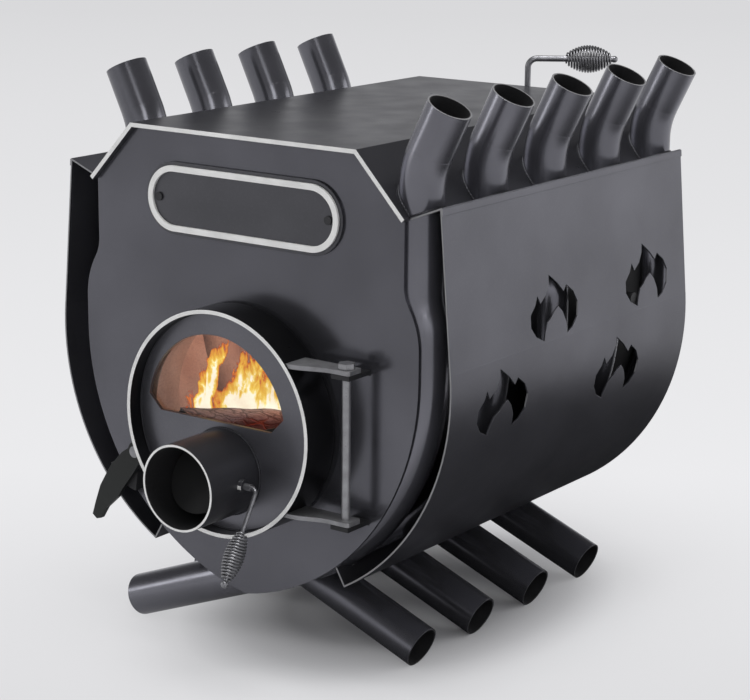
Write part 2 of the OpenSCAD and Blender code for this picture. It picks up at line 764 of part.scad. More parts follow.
// Nameplate with a bare field
module stadium(l, h) {
    square([l - h, h], center = true);
    for (side = [-1, 1]) translate([side * (l - h) / 2, 0]) circle(h / 2);
}
module nameplate() color(dark_paint) placed() difference() {
    translate([0, 0, name_z]) along_y(name_y0, name_y1) stadium(name_l, name_h);
    both_sides() translate([name_screw_x, 0, name_z])
        disc_y(name_screw_r + pin_gap, name_y0 - 1, name_y1 + 1);
}
module nameplate_rim() color(bright_steel) placed() translate([0, 0, name_z])
    along_y(name_y0 - weld_gap - rim_t, name_y0 - weld_gap) difference() {
        stadium(name_l - 2 * rim_inset, name_h - 2 * rim_inset);
        stadium(name_l - 2 * (rim_inset + rim_w), name_h - 2 * (rim_inset + rim_w));
    }
module nameplate_screws() color(bare_steel) placed() both_sides()
    translate([name_screw_x, 0, name_z]) {
        disc_y(name_screw_r, name_y0 - weld_gap, front_back_y + 2);
        disc_y(2 * name_screw_r, name_y0 - weld_gap - 2, name_y0 - weld_gap);
    }

// Door collar in the front plate
module door_collar() color(dark_paint) placed() translate([0, 0, door_z])
    ring_y(collar_r, collar_r - collar_t, collar_y0, front_back_y + collar_tail);

module door_ring() color(paint) placed() translate([0, 0, door_z])
    ring_y(ring_r, ring_inner, ring_y0, ring_y1);

// Half disc with cut lower corners, drawn from the window's own centre
module window_outline() intersection() {
    circle(window_r);
    polygon([[-window_r, 2 * window_r], [-window_r, window_corner], [window_corner - window_r, 0],
        [window_r - window_corner, 0], [window_r, window_corner], [window_r, 2 * window_r]]);
}
module glass_outline() intersection() {
    circle(glass_r);
    translate([-glass_r, -glass_lap]) square(2 * glass_r);
}

module door_plate() color(dark_paint) placed() difference() {
    translate([0, 0, door_z]) disc_y(ring_inner - weld_gap, door_y0, door_y1);
    translate([-window_offset, 0, window_z]) along_y(door_y0 - 1, door_y1 + 1) window_outline();
    translate([0, 0, pipe_z]) disc_y(air_hole_d / 2, door_y0 - 1, door_y1 + 1);
    for (place = clip_places) translate([place[0], 0, door_z + place[1]])
        disc_y(glass_screw_d / 2 + pin_gap, door_y0 + 1, door_y1 + 1);
}

module door_glass() color("#c8703a", 0.5) placed() translate([-window_offset, 0, window_z])
    along_y(glass_y0, glass_y1) glass_outline();
module glass_tape() color("#2a2a2a") placed() translate([-window_offset, 0, window_z])
    along_y(door_y1, glass_y0) difference() {
        glass_outline();
        window_outline();
    }

// Sheet seat and lip that hold the rope gasket
module gasket_channel() color(dark_paint) placed() translate([0, 0, door_z]) {
    ring_y(ring_inner - weld_gap, channel_r, channel_y0, channel_y0 + channel_t);
    ring_y(channel_r + channel_t, channel_r, channel_y0, channel_y0 + channel_t + channel_lip);
}
module door_gasket() color("#c9c5b8") placed() translate([0, 0, door_z])
    ring_y(ring_inner - 2 * gasket_gap, channel_r + channel_t + gasket_gap,
        channel_y0 + channel_t + gasket_gap, collar_y0 - seat_gap);

// Clips behind the glass, each on a boss with its screw
module at_clips() for (i = [0:len(clip_places) - 1])
    translate([clip_places[i][0], 0, door_z + clip_places[i][1]]) rotate([0, -clip_turns[i], 0]) children();
module glass_clips() color(bare_steel) placed() at_clips() difference() {
    union() {
        translate([-clip_boss_r, glass_y1 + weld_gap, -clip_w / 2]) cube([clip_l, clip_t, clip_w]);
        disc_y(clip_boss_r, door_y1 + weld_gap, glass_y1 + weld_gap);
    }
    disc_y(glass_screw_d / 2 + pin_gap, door_y1, glass_y1 + clip_t + 1);
}
module glass_screws() color(bare_steel) placed() at_clips() {
    disc_y(glass_screw_d / 2, door_y0 + 1 + weld_gap, glass_y1 + 2 * weld_gap + clip_t);
    disc_y(glass_screw_d, glass_y1 + 2 * weld_gap + clip_t, glass_y1 + 2 * weld_gap + clip_t + 2.5);
}

// Air pipe with a boss for the throttle's axle
module axle_bar(r, x0, x1) translate([x0, axle_y, pipe_z]) rotate([0, 90, 0]) cylinder(r = r, h = x1 - x0);
module air_pipe() color(paint) placed() difference() {
    union() {
        translate([0, 0, pipe_z]) disc_y(pipe_r, pipe_y0, door_y0 - weld_gap);
        axle_bar(boss_r, pipe_r - pipe_wall, pipe_r + boss_l);
    }
    translate([0, 0, pipe_z]) disc_y(pipe_r - pipe_wall, pipe_y0 - 1, door_y0);
    axle_bar(axle_d / 2 + pin_gap, -pipe_r - 1, pipe_r + boss_l + 1);
}

// Hood behind the air hole, open below, which turns the air down
module air_deflector() color(dark_paint) placed() {
    top_z = pipe_z + air_hole_d / 2 - deflector_t;
    low_z = pipe_z - air_hole_d / 2 + 6;
    y1 = door_y1 + deflector_depth;
    difference() {
        translate([-deflector_w, door_y1 + weld_gap, low_z])
            cube([2 * deflector_w, y1 - door_y1 - weld_gap, top_z - low_z]);
        translate([deflector_t - deflector_w, door_y1, low_z - 1])
            cube([2 * (deflector_w - deflector_t), y1 - door_y1 - deflector_t, top_z - low_z + 1 - deflector_t]);
    }
}

// The throttle, drawn with its handle hanging along local Z
module on_throttle() translate([0, axle_y, pipe_z]) rotate([180 - throttle_tilt, 0, 0]) children();
module throttle_disc() color(dark_paint) placed() on_throttle()
    translate([0, axle_d / 2 + disc_offset, 0])
        disc_y(sqrt(pow(throttle_disc_r, 2) - pow(axle_d / 2 + disc_t, 2)), -disc_t / 2, disc_t / 2);
module throttle_rod() color(bare_steel) placed() on_throttle() {
    translate([-pipe_r - boss_l, 0, 0]) rotate([0, 90, 0])
        cylinder(d = axle_d, h = pipe_r + boss_l + axle_reach - elbow_r);
    translate([axle_reach - elbow_r, 0, elbow_r]) rotate([90, 0, 0]) rotate([0, 0, -90])
        rotate_extrude(angle = 90) translate([elbow_r, 0]) circle(d = handle_d);
    translate([axle_reach, 0, elbow_r]) cylinder(d = handle_d, h = throttle_l - elbow_r);
    translate([axle_reach, 0, throttle_l]) sphere(end_ball_r);
}

// Spring wire wound into a barrel round local Z
module coil(rings) {
    n = len(rings);
    points = [for (ring = rings, p = ring) p];
    walls = [for (i = [0:n - 2], k = [0:wire_sides - 1])
        let (a = i * wire_sides + k, b = i * wire_sides + (k + 1) % wire_sides)
        each [[a, b + wire_sides, b], [a, a + wire_sides, b + wire_sides]]];
    last = (n - 1) * wire_sides;
    caps = [for (k = [1:wire_sides - 2]) each [[0, k, k + 1], [last, last + k + 1, last + k]]];
    polyhedron(points, concat(walls, caps));
}
module throttle_grip() color(bare_steel) placed() on_throttle()
    translate([axle_reach, 0, handle_stem]) coil(throttle_coil);

// Hinge: two arms on the door over two lugs on the front plate, on one headed pin
module hinge_plate(z) translate([0, 0, z]) difference() {
    linear_extrude(hinge_t) children();
    translate([pin_x, pin_y, -1]) cylinder(r = bolt_r + pin_gap, h = hinge_t + 2);
}

// Arm in plan: its front edge swings back in an S from the ring's front to the pin
module arm_plan() {
    front = pin_y - hinge_w / 2;
    back = pin_y + hinge_w / 2;
    root_y = ring_y0 + arm_corner;
    end_x = pin_x + hinge_w / 2;
    s_start = pin_x - 2 * arm_root - hinge_w / 2;
    s_curve = [for (i = [0:12]) [s_start + 2 * arm_root * i / 12,
        root_y + (front - root_y) * (1 - cos(15 * i)) / 2]];
    polygon(concat([[0, back], [0, root_y]], s_curve, [[end_x - arm_corner, front],
        [end_x, front + arm_corner], [end_x, back - arm_corner], [end_x - arm_corner, back]]));
}
module hinge_arm(z) difference() {
    hinge_plate(z) arm_plan();
    translate([0, 0, door_z]) disc_y(ring_r + weld_gap, ring_y0 - 1, pin_y + hinge_w);
}
module hinge_arm_upper() color(bare_steel) placed() hinge_arm(upper_arm_z);
module hinge_arm_lower() color(bare_steel) placed() hinge_arm(lower_arm_z);
module hinge_lugs() color(bare_steel) placed() for (z = [upper_arm_z, lower_arm_z])
    hinge_plate(z - hinge_t - hinge_slack) translate([pin_x - hinge_w / 2, pin_y - hinge_w / 2])
        square([hinge_w, front_y - weld_gap - pin_y + hinge_w / 2]);
module hinge_pin() color(bare_steel) placed() translate([pin_x, pin_y, 0]) {
    low = lower_arm_z - hinge_t - hinge_slack;
    translate([0, 0, low]) cylinder(r = bolt_r, h = upper_arm_z + hinge_t + seat_gap - low);
    translate([0, 0, upper_arm_z + hinge_t + seat_gap])
        cylinder(d = hex_af / cos(30), h = head_h, $fn = 6);
}

// Latch: leaf-shaped handle on a rivet, whose stud turns into the keeper's slot
module at_latch() translate([latch_p[0], 0, latch_p[1]]) children();
module latch_handle() color(dark_paint) placed() at_latch() {
    difference() {
        along_y(latch_y0, latch_y1) union() {
            polygon(blade);
            circle(latch_pin_r + 8);
        }
        disc_y(latch_pin_r + pin_gap, latch_y0 - 1, latch_y1 + 1);
    }
    stud = polar(stud_reach, stud_angle);
    translate([stud[0], 0, stud[1]]) {
        disc_y(stud_r, latch_y1, keeper_y1 + 1);
        disc_y(stud_head_r, keeper_y1 + 1, keeper_y1 + 1 + stud_head_t);
    }
}
module latch_bracket() color(dark_paint) placed() difference() {
    at_latch() along_y(latch_y1 + seat_gap, latch_y1 + seat_gap + latch_t) difference() {
        union() {
            circle(latch_pin_r + 7);
            rotate(atan2(latch_drop, latch_x)) translate([0, -latch_pin_r - 6])
                square([norm([latch_drop, latch_x]) - ring_r + 8, 2 * latch_pin_r + 12]);
        }
        circle(latch_pin_r + pin_gap);
    }
    translate([0, 0, door_z]) disc_y(ring_r + weld_gap, latch_y0, latch_y1 + 2 * latch_t);
}
module latch_pivot() color(bare_steel) placed() at_latch() {
    back = latch_y1 + 2 * seat_gap + latch_t;
    disc_y(latch_pin_r + 3, latch_y0 - seat_gap - 3, latch_y0 - seat_gap);
    disc_y(latch_pin_r, latch_y0 - seat_gap, back);
    disc_y(latch_pin_r + 3, back, back + 3);
}
module sector(r, a0, a1) polygon(concat([[0, 0]], arc_points([0, 0], r, a0, a1)));
module keeper_ring(a0, a1) {
    outer = stud_reach + keeper_slot + keeper_rim;
    intersection() {
        difference() {
            circle(outer);
            circle(stud_reach - keeper_slot - keeper_rim);
        }
        sector(2 * outer, a0, a1);
    }
}
module keeper_slot_shape() {
    intersection() {
        difference() {
            circle(stud_reach + keeper_slot);
            circle(stud_reach - keeper_slot);
        }
        sector(2 * stud_reach, keeper_open - 10, stud_angle + 2);
    }
    translate(polar(stud_reach, stud_angle + 2)) circle(keeper_slot);
}
module latch_keeper() color(dark_paint) placed() at_latch() {
    along_y(keeper_y0, keeper_y1) difference() {
        keeper_ring(keeper_open, keeper_end);
        keeper_slot_shape();
    }
    along_y(keeper_y1, front_y - weld_gap) keeper_ring(keeper_leg, keeper_end);
}

// Flue outlet with a reduced spigot, and the damper through it
module flue_outlet() color(dark_paint) placed() difference() {
    translate([0, 0, flue_z]) {
        disc_y(flue_r, rear_y, flue_end_y - spigot_l);
        disc_y(flue_r - spigot_step, flue_end_y - spigot_l, flue_end_y);
    }
    translate([0, 0, flue_z]) disc_y(flue_r - spigot_step - flue_wall, rear_y - 1, flue_end_y + 1);
    translate([0, damper_y, flue_z - flue_r - 1])
        cylinder(d = damper_rod_d + 2 * pin_gap, h = 2 * flue_r + 2);
}
module damper_disc() color(dark_paint) placed() translate([0, damper_y, flue_z])
    rotate([0, 0, damper_turn]) translate([0, damper_rod_d / 2 + disc_offset, 0])
        disc_y(sqrt(pow(damper_disc_r - spigot_step, 2) - pow(damper_rod_d / 2 + disc_t, 2)),
            -disc_t / 2, disc_t / 2);
module damper_rod() color(bare_steel) placed() translate([0, damper_y, 0]) rotate([0, 0, damper_turn]) {
    low = flue_z - flue_r - damper_tail;
    translate([0, 0, low]) cylinder(d = damper_rod_d, h = damper_z - damper_bend - low);
    translate([damper_bend, 0, damper_z - damper_bend]) rotate([90, 0, 0]) rotate([0, 0, 90])
        rotate_extrude(angle = 90) translate([damper_bend, 0]) circle(d = damper_rod_d);
    translate([damper_bend, 0, damper_z]) rotate([0, 90, 0])
        cylinder(d = damper_rod_d, h = damper_l - damper_bend);
    translate([damper_l, 0, damper_z]) sphere(end_ball_r);
}
module damper_grip() color(bare_steel) placed() translate([0, damper_y, damper_z])
    rotate([0, 0, damper_turn]) rotate([0, 90, 0]) translate([0, 0, damper_stem]) coil(damper_coil);

cooking_plate();
chamfer_left();
chamfer_right();
front_plate();
rear_plate();
right_tube(1);  // tube_right_1
right_tube(2);  // tube_right_2
right_tube(3);  // tube_right_3
right_tube(4);  // tube_right_4
right_tube(5);  // tube_right_5
left_tube(1);  // tube_left_1
left_tube(2);  // tube_left_2
left_tube(3);  // tube_left_3
left_tube(4);  // tube_left_4
wall_strips_right();
wall_strips_left();
casing_left();
casing_right();
casing_spacers();
baffle_plate();
baffle_rails();
ash_sill();
nameplate();
nameplate_rim();
nameplate_screws();
door_collar();
door_ring();
door_plate();
gasket_channel();
door_gasket();
door_glass();
glass_tape();
glass_clips();
glass_screws();
air_pipe();
air_deflector();
throttle_disc();
throttle_rod();
throttle_grip();
hinge_arm_upper();
hinge_arm_lower();
hinge_lugs();
hinge_pin();
latch_handle();
latch_pivot();
latch_bracket();
latch_keeper();
flue_outlet();
damper_disc();
damper_rod();
damper_grip();
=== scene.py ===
"""Looks of the convection wood stove: its camera, light, finishes and finely modelled pieces."""

import math
import random

import bmesh
import bpy
from mathutils import Matrix, Vector, noise


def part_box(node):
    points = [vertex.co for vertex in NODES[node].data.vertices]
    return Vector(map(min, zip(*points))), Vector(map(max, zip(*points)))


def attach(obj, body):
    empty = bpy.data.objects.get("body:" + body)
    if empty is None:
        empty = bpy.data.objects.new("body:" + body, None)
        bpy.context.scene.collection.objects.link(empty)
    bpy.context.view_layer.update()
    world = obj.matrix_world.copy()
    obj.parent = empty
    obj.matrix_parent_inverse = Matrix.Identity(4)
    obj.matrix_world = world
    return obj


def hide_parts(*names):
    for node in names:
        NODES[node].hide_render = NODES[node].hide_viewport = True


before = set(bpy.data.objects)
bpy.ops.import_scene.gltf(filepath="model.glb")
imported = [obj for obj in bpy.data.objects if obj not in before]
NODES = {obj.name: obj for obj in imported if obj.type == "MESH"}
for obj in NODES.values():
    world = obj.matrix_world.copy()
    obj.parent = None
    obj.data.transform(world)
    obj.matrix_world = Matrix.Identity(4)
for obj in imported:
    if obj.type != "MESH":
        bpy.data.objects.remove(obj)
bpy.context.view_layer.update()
MM = 0.001
TAU = 2 * math.pi

# Camera, in metres and degrees
CAMERA_PLACE = (1.53334, -2.14341, 0.97122)
VIEW_AZIMUTH = 35.75
VIEW_DROP = 13.956
VIEW_ROLL = 0.535
LENS = 104.872

# Air tubes, in millimetres of the part's frame, as are all measures below
TUBE_R = 25.5
TUBE_BORE_R = 22.5
TUBE_PITCH = 125.0
# The first tube's place along y and the number of tubes, for the right side (1) and the left side (-1)
TUBE_ROWS = {1: (-238.81, 5), -1: (-176.31, 4)}
MOUTH = (256.6, 665.8)
MOUTH_LEAN = 26.0
FOOT = (-187.6, 23.8)
FOOT_SLOPE = 21.3
MOUTHS_ABOVE = 600.0
FEET_BELOW = 80.0
NECK_X = 222.6
SWEEP_CENTRE = (-32.0, 367.0)
SWEEP_R = 263.2
# The fire's dust reaches this far above the sweep's centre
DUST_TOP = 45.0

# Hood: its shoulder line, the slope of its sheet above it and of its flange outside it
SHOULDER = (226.0, 547.0)
CHAMFER_FALL = 1.0703
FLANGE_RISE = 0.392
HOOD_SEAM = ((161.0, 611.0), (223.5, 543.6))

# End plates and what is welded to them
FRONT_Y = -268.51
REAR_BACK_Y = 290.89
DOOR_Z = 292.0
COLLAR_R = 122.0
COLLAR_BORE_R = 119.5
FLUE_Z = 501.0
FLUE_R = 60.0
FLUE_BORE_R = 57.6
LUG_SEAM_X = (154.5, 177.5)
LUG_SEAM_Z = {"upper": 368.3, "lower": 196.3}
# Ripples of a weld bead: their pitch, and their depth as a share of its radius
RIPPLE = 3.1
RIPPLE_DEPTH = 0.13

# Door, with its pipe, gasket and window
DOOR_PLATE_Y = -303.51
DOOR_PLATE_R = 127.5
PIPE_Z = 233.4
PIPE_R = 50.2
PIPE_BORE_R = 47.6
GASKET_INNER_R = 114.2
GLASS_CENTRE = (-15.0, 290.0)
GLASS_R = 108.0
GLASS_LAP = 7.5

# Grips: length, widest diameter and rod diameter, and where each stands on its turning rod
SPRING_WIRE = 2.8
SPRING_TURNS = 16
THROTTLE_GRIP = (57.0, 24.0, 5.0)
THROTTLE_AXLE = (-335.71, 233.4)
THROTTLE_TILT = 31.0
THROTTLE_X = 72.0
THROTTLE_STEM = 50.0
DAMPER_GRIP = (61.0, 37.0, 8.0)
DAMPER_AXIS = (0.0, 327.49)
DAMPER_Z = 650.04
DAMPER_TURN = 35.0
DAMPER_STEM = 49.0

# How high the flames reach along their sheet, as shares of its width and height
FLAME_TOPS = [(0.05, 0.0), (0.065, 0.16), (0.08, 0.22), (0.097, 0.14), (0.106, 0.46), (0.13, 0.64),
              (0.162, 0.82), (0.176, 0.52), (0.19, 0.26), (0.212, 0.24), (0.23, 0.44), (0.262, 0.72),
              (0.285, 0.6), (0.32, 0.74), (0.36, 0.56), (0.41, 0.7), (0.444, 0.5), (0.486, 0.62),
              (0.52, 0.36), (0.556, 0.7), (0.6, 0.42), (0.64, 0.6), (0.69, 0.34), (0.736, 0.54),
              (0.79, 0.3), (0.844, 0.42), (0.91, 0.18), (0.98, 0.0)]


def linear(hex_colour):
    """A display colour such as "#5a5a60" as linear RGBA."""
    out = []
    for i in (1, 3, 5):
        c = int(hex_colour[i:i + 2], 16) / 255
        out.append(c / 12.92 if c <= 0.04045 else ((c + 0.055) / 1.055) ** 2.4)
    return (*out, 1.0)


def shade(colour, factor):
    """A linear colour made darker or lighter."""
    return (*[min(1.0, c * factor) for c in colour[:3]], 1.0)


def per_mm(size):
    """The scale of a pattern with features of this many millimetres."""
    return 1 / (size * MM)


def new_material(name):
    material = bpy.data.materials.new(name)
    material.use_nodes = True
    material.node_tree.nodes.clear()
    return material, material.node_tree


def add(tree, kind, inputs=None, stops=(), **settings):
    """Adds a shader node with its settings, values, links and colour stops, and returns its outputs."""
    node = tree.nodes.new("ShaderNode" + kind)
    for setting, value in settings.items():
        setattr(node, setting, value)
    for socket, value in (inputs or {}).items():
        if isinstance(value, bpy.types.NodeSocket):
            tree.links.new(value, node.inputs[socket])
        else:
            node.inputs[socket].default_value = value
    if stops:
        elements = node.color_ramp.elements
        elements.remove(elements[1])
        elements[0].position, elements[0].color = stops[0]
        for place, colour in stops[1:]:
            elements.new(place).color = colour
    return node.outputs


def varied(tree, where, size_mm, low, high, least=0.0, most=1.0, detail=3.0, roughness=0.5, distortion=0.0):
    """A number that wanders from least to most in patches, where cloudy noise goes from low to high."""
    cloud = add(tree, "TexNoise", {"Vector": where, "Scale": per_mm(size_mm), "Detail": detail,
                                   "Roughness": roughness, "Distortion": distortion})
    return add(tree, "MapRange", {"Value": cloud["Fac"], "From Min": low, "From Max": high,
                                  "To Min": least, "To Max": most})["Result"]


def patched(tree, where, first, second, size_mm, low, high, **cloud):
    """Two colours in soft patches."""
    share = varied(tree, where, size_mm, low, high, **cloud)
    return add(tree, "Mix", {0: share, 6: first, 7: second}, data_type="RGBA")[2]


def relief(tree, height, strength, depth_mm, edge_mm):
    """The normal of a finely uneven surface whose edges are a little round."""
    rounded = add(tree, "Bevel", {"Radius": edge_mm * MM}, samples=4)["Normal"]
    return add(tree, "Bump", {"Height": height, "Strength": strength, "Distance": depth_mm * MM,
                              "Normal": rounded})["Normal"]


def facing(tree, axis):
    """1 where the surface lies square to the axis, within 16 degrees."""
    normal = add(tree, "TexCoord")["Normal"]
    along = add(tree, "VectorMath", {0: normal, 1: axis}, operation="DOT_PRODUCT")["Value"]
    cosine = 0.96
    return add(tree, "Math", {0: along, 1: cosine}, operation="GREATER_THAN")[0]


def bare_or_highlight_steel(tree, where, colour):
    """Bare steel where a torch cut was ground clean: pale, a little cloudy, with fine grinding marks. On
    the tubes' end faces and the casings' front faces the same pale steel is a painted highlight.
    """
    light = linear(colour)
    tone = patched(tree, where, shade(light, 0.85), light, 30, 0.3, 0.7, detail=2.0)
    marks = add(tree, "TexNoise", {"Vector": where, "Scale": per_mm(0.7), "Detail": 2.0})["Fac"]
    rough = add(tree, "MapRange", {"Value": marks, "From Min": 0.3, "From Max": 0.7, "To Min": 0.28,
                                   "To Max": 0.46})["Result"]
    return add(tree, "BsdfPrincipled", {"Base Color": tone, "Metallic": 0.25, "Roughness": rough,
                                        "Normal": relief(tree, marks, 0.25, 0.08, 0.5)})["BSDF"]


def tube_bores(side):
    """Where a tube of one side shows its own bore, in its mouth and in its foot."""
    first_y = TUBE_ROWS[side][0]

    def mask(tree, where):
        found = []
        z = add(tree, "SeparateXYZ", {0: where})[2]
        for (x_mm, z_mm), lean, side_of, limit in ((MOUTH, MOUTH_LEAN, "GREATER_THAN", MOUTHS_ABOVE),
                                                   (FOOT, 90 - FOOT_SLOPE, "LESS_THAN", FEET_BELOW)):
            turned = add(tree, "Mapping", {
                "Vector": where, "Location": row_point(side * x_mm, first_y, z_mm),
                "Rotation": (0, side * math.radians(lean), 0)}, vector_type="TEXTURE")["Vector"]
            across, along, _ = add(tree, "SeparateXYZ", {0: turned})
            along = add(tree, "Math", {0: along, 1: TUBE_PITCH / 2 * MM}, operation="PINGPONG")[0]
            flat = add(tree, "CombineXYZ", {0: across, 1: along})[0]
            away = add(tree, "VectorMath", {0: flat}, operation="LENGTH")["Value"]
            inside = add(tree, "Math", {0: away, 1: (TUBE_BORE_R + 1) * MM}, operation="LESS_THAN")[0]
            end = add(tree, "Math", {0: z, 1: limit * MM}, operation=side_of)[0]
            found.append(add(tree, "Math", {0: inside, 1: end}, operation="MULTIPLY")[0])
        return add(tree, "Math", {0: found[0], 1: found[1]}, operation="MAXIMUM")[0]
    return mask


def round_bore(centre_z, radius):
    """Where a pipe along y shows its bore."""
    def mask(tree, where):
        flat = add(tree, "VectorMath", {0: where, 1: (1, 0, 1), 2: (0, 0, -centre_z * MM)},
                   operation="MULTIPLY_ADD")[0]
        away = add(tree, "VectorMath", {0: flat}, operation="LENGTH")["Value"]
        return add(tree, "Math", {0: away, 1: radius * MM}, operation="LESS_THAN")[0]
    return mask


def fire_side(side):
    """Where a wall of the barrel faces the fire: inside its round sweep and a little above it."""
    def mask(tree, where):
        centre = (-SWEEP_CENTRE[0] * MM, 0, -SWEEP_CENTRE[1] * MM)
        near = add(tree, "VectorMath", {0: where, 1: (side, 0, 1), 2: centre}, operation="MULTIPLY_ADD")[0]
        capped = add(tree, "VectorMath", {0: near, 1: (1, 1, 0)}, operation="MINIMUM")[0]
        away = add(tree, "VectorMath", {0: capped}, operation="LENGTH")["Value"]
        inside = add(tree, "Math", {0: away, 1: (SWEEP_R - 1) * MM}, operation="LESS_THAN")[0]
        up = add(tree, "SeparateXYZ", {0: near})[2]
        low = add(tree, "Math", {0: up, 1: DUST_TOP * MM}, operation="LESS_THAN")[0]
        return add(tree, "Math", {0: inside, 1: low}, operation="MULTIPLY")[0]
    return mask


def paint(name, colour, roughness=0.3, edge_wear_and_highlight=0.0, cuts=(), metallic=0.8, soot_or_shade=None, ashed=None):
    """Heat-resistant silicone paint with metal flakes, sprayed on steel sheet.

    It gives a satin grey with faint clouds, a fine speckle and orange peel, and pale edges that are partly
    worn paint and partly a painted highlight.
    The listed faces are left bright, each with its axis, its middle height and reach or None, and its
    colour: ground steel on cut edges, and a painted highlight on the tubes' end faces and the casings'
    front faces.
    The last two masks give the places made near-black, by smoke in the flue and as painted shade inside the
    tubes' and the air pipe's bores, and the places that the fire coats with pale dust.
    """
    material, tree = new_material(name)
    where = add(tree, "TexCoord")["Object"]
    base = linear(colour)
    tone = patched(tree, where, shade(base, 0.86), shade(base, 1.13), 140, 0.3, 0.7)
    tone = patched(tree, where, tone, shade(base, 1.35), 2.6, 0.52, 0.85, most=0.35, roughness=0.6)
    smooth = add(tree, "Bevel", {"Radius": 0.8 * MM}, samples=4)["Normal"]
    # Pale edges: partly rubbed paint, partly a painted highlight along the edges.
    if edge_wear_and_highlight:
        true = add(tree, "NewGeometry")["Normal"]
        turned = add(tree, "VectorMath", {0: smooth, 1: true}, operation="DOT_PRODUCT")["Value"]
        edge = add(tree, "MapRange", {"Value": turned, "From Min": 0.985, "From Max": 0.9})["Result"]
        rub_and_highlight = varied(tree, where, 9, 0.42, 0.6, most=edge_wear_and_highlight, detail=4.0, roughness=0.7)
        share = add(tree, "Math", {0: edge, 1: rub_and_highlight}, operation="MULTIPLY")[0]
        tone = add(tree, "Mix", {0: share, 6: tone, 7: linear("#8c8c8e")}, data_type="RGBA")[2]
    peel = add(tree, "TexNoise", {"Vector": where, "Scale": per_mm(5.0), "Detail": 2.0})["Fac"]
    normal = add(tree, "Bump", {"Height": peel, "Strength": 0.04, "Distance": 0.2 * MM,
                                "Normal": smooth})["Normal"]
    rough = varied(tree, where, 45, 0.25, 0.75, roughness - 0.03, roughness + 0.05)
    surface = add(tree, "BsdfPrincipled", {"Base Color": tone, "Metallic": metallic, "Roughness": rough,
                                           "Normal": normal})["BSDF"]
    # Pale faces: bare steel on cut edges, and a painted highlight on tube ends and casing fronts.
    for axis, band, cut_or_highlight_colour in cuts:
        mask = facing(tree, axis)
        if band:
            z = add(tree, "SeparateXYZ", {0: where})[2]
            near = add(tree, "Math", {0: z, 1: band[0] * MM, 2: band[1] * MM}, operation="COMPARE")[0]
            mask = add(tree, "Math", {0: mask, 1: near}, operation="MULTIPLY")[0]
        bare_or_highlight = bare_or_highlight_steel(tree, where, cut_or_highlight_colour)
        surface = add(tree, "MixShader", {0: mask, 1: surface, 2: bare_or_highlight})[0]
    if ashed:
        dust = patched(tree, where, linear("#86746a"), linear("#a08c80"), 140, 0.35, 0.65)
        dust = patched(tree, where, dust, linear("#5e5048"), 2.6, 0.4, 0.7, most=0.4, roughness=0.6)
        coat = add(tree, "BsdfPrincipled", {"Base Color": dust, "Roughness": 0.9, "Normal": normal})["BSDF"]
        surface = add(tree, "MixShader", {0: ashed(tree, where), 1: surface, 2: coat})[0]
    # Near-black: soot in the flue's bore, painted shade inside the tubes' and air pipe's bores.
    if soot_or_shade:
        soot = patched(tree, where, linear("#0c0c0d"), linear("#17161a"), 2.6, 0.3, 0.7, roughness=0.6)
        coat = add(tree, "BsdfPrincipled", {"Base Color": soot, "Roughness": 0.8, "Normal": normal})["BSDF"]
        surface = add(tree, "MixShader", {0: soot_or_shade(tree, where), 1: surface, 2: coat})[0]
    add(tree, "OutputMaterial", {"Surface": surface})
    return material


def drawn_steel(name, colour, roughness=0.38, metallic=0.85):
    """Cold-drawn steel of rods, wire and bolts: a half-shiny, cloudy grey with the die's fine marks."""
    material, tree = new_material(name)
    where = add(tree, "TexCoord")["Object"]
    base = linear(colour)
    tone = patched(tree, where, shade(base, 0.72), base, 12, 0.3, 0.7)
    marks = add(tree, "TexNoise", {"Vector": where, "Scale": per_mm(1.1), "Detail": 3.0})["Fac"]
    rough = add(tree, "MapRange", {"Value": marks, "From Min": 0.3, "From Max": 0.7,
                                   "To Min": roughness - 0.06, "To Max": roughness + 0.1})["Result"]
    surface = add(tree, "BsdfPrincipled", {"Base Color": tone, "Metallic": metallic, "Roughness": rough,
                                           "Normal": relief(tree, marks, 0.3, 0.06, 0.6)})["BSDF"]
    add(tree, "OutputMaterial", {"Surface": surface})
    return material


def ground_steel(name, colour):
    """The name plate's rim, ground bright all over."""
    material, tree = new_material(name)
    where = add(tree, "TexCoord")["Object"]
    add(tree, "OutputMaterial", {"Surface": bare_or_highlight_steel(tree, where, colour)})
    return material


def fire_glass():
    """Glass ceramic: clear, faintly smoked in patches, with a thin mirror image on its outer faces."""
    material, tree = new_material("fire_glass")
    where = add(tree, "TexCoord")["Object"]
    smoke = patched(tree, where, linear("#fdfaf8"), linear("#f2e8e3"), 38, 0.35, 0.7, detail=4.0,
                    roughness=0.6)
    clear = add(tree, "BsdfTransparent", {"Color": smoke})[0]
    gloss = add(tree, "BsdfGlossy", {"Color": linear("#ffffff"), "Roughness": 0.06})[0]
    fresnel = add(tree, "Fresnel", {"IOR": 1.5})[0]
    behind = add(tree, "NewGeometry")["Backfacing"]
    outer = add(tree, "Math", {0: 1.0, 1: behind}, operation="SUBTRACT")[0]
    mirror = add(tree, "Math", {0: fresnel, 1: outer}, operation="MULTIPLY")[0]
    surface = add(tree, "MixShader", {0: mirror, 1: clear, 2: gloss})[0]
    add(tree, "OutputMaterial", {"Surface": surface})
    return material


